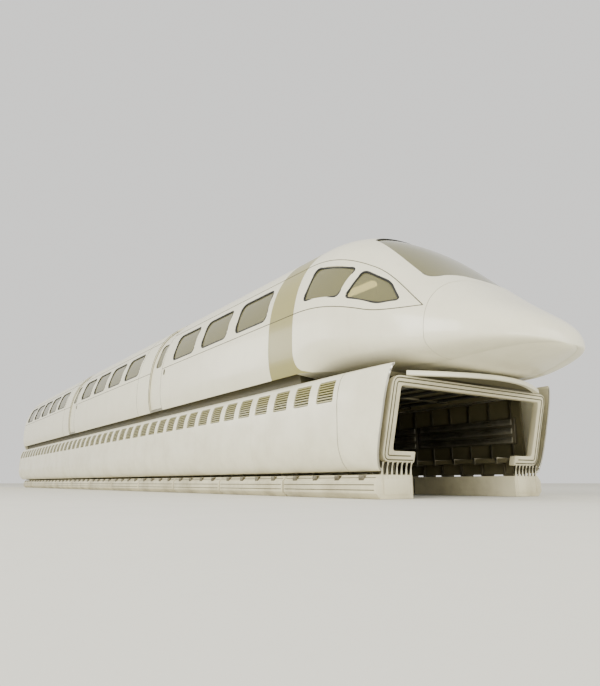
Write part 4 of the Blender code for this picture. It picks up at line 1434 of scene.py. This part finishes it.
def build_desk():
    outline = [(10.72, 1.942), (11.24, 1.942), (11.24, 2.62), (10.98, 2.74)]
    outline += [(DESK_EDGE, DESK_HEIGHT), (DESK_EDGE, 2.56), (10.72, 2.50)]
    body = prism(outline, "y", -0.85, 0.85, 0.012)
    joined("desk_body", [body], PLASTIC, slot="desk_plastic", node="driver_desk")
    screens, keys = [], []
    for y in (-0.48, 0.0, 0.48):
        screens.append(sloped(block((10.70, y - 0.19, -0.004), (10.92, y + 0.19, 0.006), 0.004)))
    for x in (10.635, 10.661):
        for k in range(16):
            y = -0.72 + 0.096 * k
            keys.append(sloped(block((x, y - 0.014, 0.0), (x + 0.018, y + 0.014, 0.008), 0.003)))
    joined("desk_screens", screens, SCREEN)
    joined("desk_keys", keys, SEAM)
    levers = []
    for y in (-0.26, 0.26):
        foot = Vector((10.66, y, 2.64))
        levers.append(rod([foot, foot + Vector((-0.01, 0, 0.05)), foot + Vector((-0.03, 0, 0.10))], 0.010))
        levers.append(block((10.605, y - 0.03, 2.725), (10.65, y + 0.03, 2.745), 0.008))
    joined("desk_levers", levers, METAL)


def sloped(bm):
    """Lays a flat part on the desk's sloping top."""
    for vert in bm.verts:
        vert.co.z += DESK_HEIGHT + (vert.co.x - DESK_EDGE) * DESK_SLOPE
    return bm


def build_driver_seat():
    pan = block((9.84, -0.24, 2.28), (10.20, 0.24, 2.33), 0.02)
    rest = reclined(block((9.78, -0.24, 2.30), (9.83, 0.24, 3.02), 0.02), 0.19)
    foot = prism(rounded(rectangle(9.78, 10.06, -0.14, 0.14), 0.06), "z", 1.942, 1.97, 0.004)
    joined("driver_seat_shell", [pan, rest, foot], PLASTIC, node="driver_seat")
    joined("driver_seat_post", [rod([Vector((9.92, 0, z)) for z in (1.96, 2.1, 2.29)], 0.045, 20)], METAL)
    pad = cushion((9.82, -0.23, 2.33), (10.22, 0.23, 2.45), 0.012, 2)
    back = cushion((9.83, -0.23, 2.43), (9.93, 0.23, 2.94), 0.02, 0, 0.19)
    head = cushion((9.74, -0.13, 2.92), (9.83, 0.13, 3.12), 0.015, 0, 0.1)
    for name, part in (("driver_pad", pad), ("driver_back", back), ("driver_head", head)):
        joined(name, [part], FABRIC, angle=60)


build_desk()
build_driver_seat()

# %% [markdown]
# ## The tail
# The rear end wall has a gangway to the next car, framed by folded rubber bellows. The door leaf is
# hinged on its left edge and opens inwards, so its handle, window and panels all ride on the door's own
# body.

# %% Rear wall, bellows and door
X_END_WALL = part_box("rear_end_wall")[0].x
FOLD = 0.01


def build_end_wall():
    points = [on_skin(X_END_WALL, u, 0.001) for u in RING]
    outline = [(p.y, p.z) for p in points if p.z > 1.80]
    outline = [(-1.57, 1.525), (-1.72, 1.80)] + outline + [(1.72, 1.80), (1.57, 1.525)]
    hole = rounded(rectangle(-0.45, 0.45, 1.94, 3.86), 0.05)
    wall = wall_across(outline, [hole], X_END_WALL, X_END_WALL + 0.04)
    joined("end_wall", [wall], CREAM, node="rear_end_wall")
    rim = [(y * 0.985, 1.5 + (z - 1.5) * 0.99) for y, z in outline]
    joined("end_wall_bead", [tube([Vector((X_END_WALL - 0.002, y, z)) for y, z in rim], 0.010)], SEAM)


def build_bellows():
    """Five plates of rubber by turns wide and narrow, and a metal frame that meets the next car."""
    folds = []
    inner = rounded(rectangle(-0.46, 0.46, 1.93, 3.87), 0.05)
    for k in range(5):
        grow = -0.02 * (k % 2)
        outer = rounded(rectangle(-0.63 - grow, 0.63 + grow, 1.78 - grow, 4.00 + grow), 0.10)
        start = X_END_WALL - 0.001 - FOLD * k
        folds.append(wall_across(outer, [inner], start - FOLD, start))
    joined("bellows_folds", folds, RUBBER, slot="bellows_rubber", node="gangway_bellows")
    plate = rounded(rectangle(-0.60, 0.60, 1.81, 3.97), 0.09)
    hole = rounded(rectangle(-0.50, 0.50, 1.90, 3.90), 0.05)
    joined("bellows_frame", [wall_across(plate, [hole], X_TAIL, X_TAIL + 0.008)], METAL)


def build_end_door():
    low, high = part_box("gangway_door")
    outline = rounded(rectangle(low.y, high.y, low.z, high.z), 0.01, 2)
    hole = rounded(rectangle(-0.26, 0.26, 2.70, 3.60), 0.05)
    leaf = wall_across(outline, [hole], low.x, high.x)
    joined("end_door_leaf", [leaf], CREAM, "end_door", node="gangway_door")
    pane_outline = rounded(rectangle(-0.2595, 0.2595, 2.7005, 3.5995), 0.05)
    pane = wall_across(pane_outline, [], low.x + 0.016, low.x + 0.024)
    joined("end_door_pane", [pane], GLASS, "end_door", node="gangway_door_glass")
    seal = tube([Vector((low.x + 0.004, y, z)) for y, z in hole], 0.008)
    joined("end_door_seal", [seal], RUBBER, "end_door")
    fittings = [block((high.x - 0.002, -0.43, 2.86), (high.x + 0.006, -0.35, 3.06), 0.005)]
    grip = ((0.0, 3.0), (0.04, 3.0), (0.04, 2.90), (0.0, 2.90))
    handle = [Vector((high.x + dx, -0.39, z)) for dx, z in grip]
    fittings.append(rod(handle, 0.009))
    fittings.append(block((high.x - 0.002, -0.40, 2.0), (high.x + 0.003, 0.40, 2.22), 0.002))
    joined("end_door_handle", fittings, METAL, "end_door")


build_end_wall()
build_bellows()
build_end_door()
left = [name for name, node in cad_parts.items() if not node.hide_render]
print("CAD nodes still shown:", left or "none")

# %% [markdown]
# ## Floor, light and camera
# A car this size is lit by the whole sky, so an even sky does most of the work here. One large soft light
# on the right models the curves, a weaker one fills the left, a low one reaches under the nose, and the
# last lights the far end of the car. The camera stands ahead of the nose on the right, at floor level,
# and looks up slightly.

# %% Studio
FLOOR_SIZE = 400
PAPER = painted("floor_paper", (0.86, 0.85, 0.80), (0.84, 0.83, 0.78), rough=0.8, coat=0)
SKY_COLOUR = (0.90, 0.89, 0.86, 1)
SKY_STRENGTH = 1.2
CAMERA_PLACE = (16.6, -6.6, 0.20)
CAMERA_AIM = (7.0, 0.0, 3.0)


def build_floor():
    bpy.ops.mesh.primitive_plane_add(size=FLOOR_SIZE, location=(0, 0, -0.001))
    floor = bpy.context.active_object
    floor.name = "floor"
    floor.data.materials.append(PAPER)


def aim(obj, place, target):
    """Puts a light or a camera in its place, turned towards its target."""
    obj.location = place
    obj.rotation_euler = (Vector(target) - Vector(place)).to_track_quat("-Z", "Y").to_euler()


def add_light(name, place, target, size, power):
    light = bpy.data.lights.new(name, "AREA")
    light.shape = "RECTANGLE"
    light.size, light.size_y = size
    light.energy = power
    aim(linked(name, light), place, target)


def build_lights():
    add_light("key", (16, -22, 13), (4, 0, 2), (16, 9), 6400)
    add_light("fill", (26, 10, 9), (8, 0, 2), (12, 8), 1200)
    add_light("low front", (24, -1, 2.2), (8, 0, 1), (8, 3), 520)
    add_light("back", (-14, -18, 8), (-6, 0, 2), (14, 8), 1500)
    world = bpy.data.worlds.new("studio")
    world.use_nodes = True
    sky = world.node_tree.nodes["Background"]
    sky.inputs["Color"].default_value = SKY_COLOUR
    sky.inputs["Strength"].default_value = SKY_STRENGTH
    bpy.context.scene.world = world


def build_camera():
    camera = bpy.data.cameras.new("camera")
    camera.lens = 30.5
    camera.sensor_width = 36
    bpy.context.scene.camera = linked("camera", camera)
    aim(bpy.context.scene.camera, CAMERA_PLACE, CAMERA_AIM)


build_floor()
build_lights()
build_camera()
print("camera", CAMERA_PLACE[2], "m above the floor, aimed at", CAMERA_AIM)
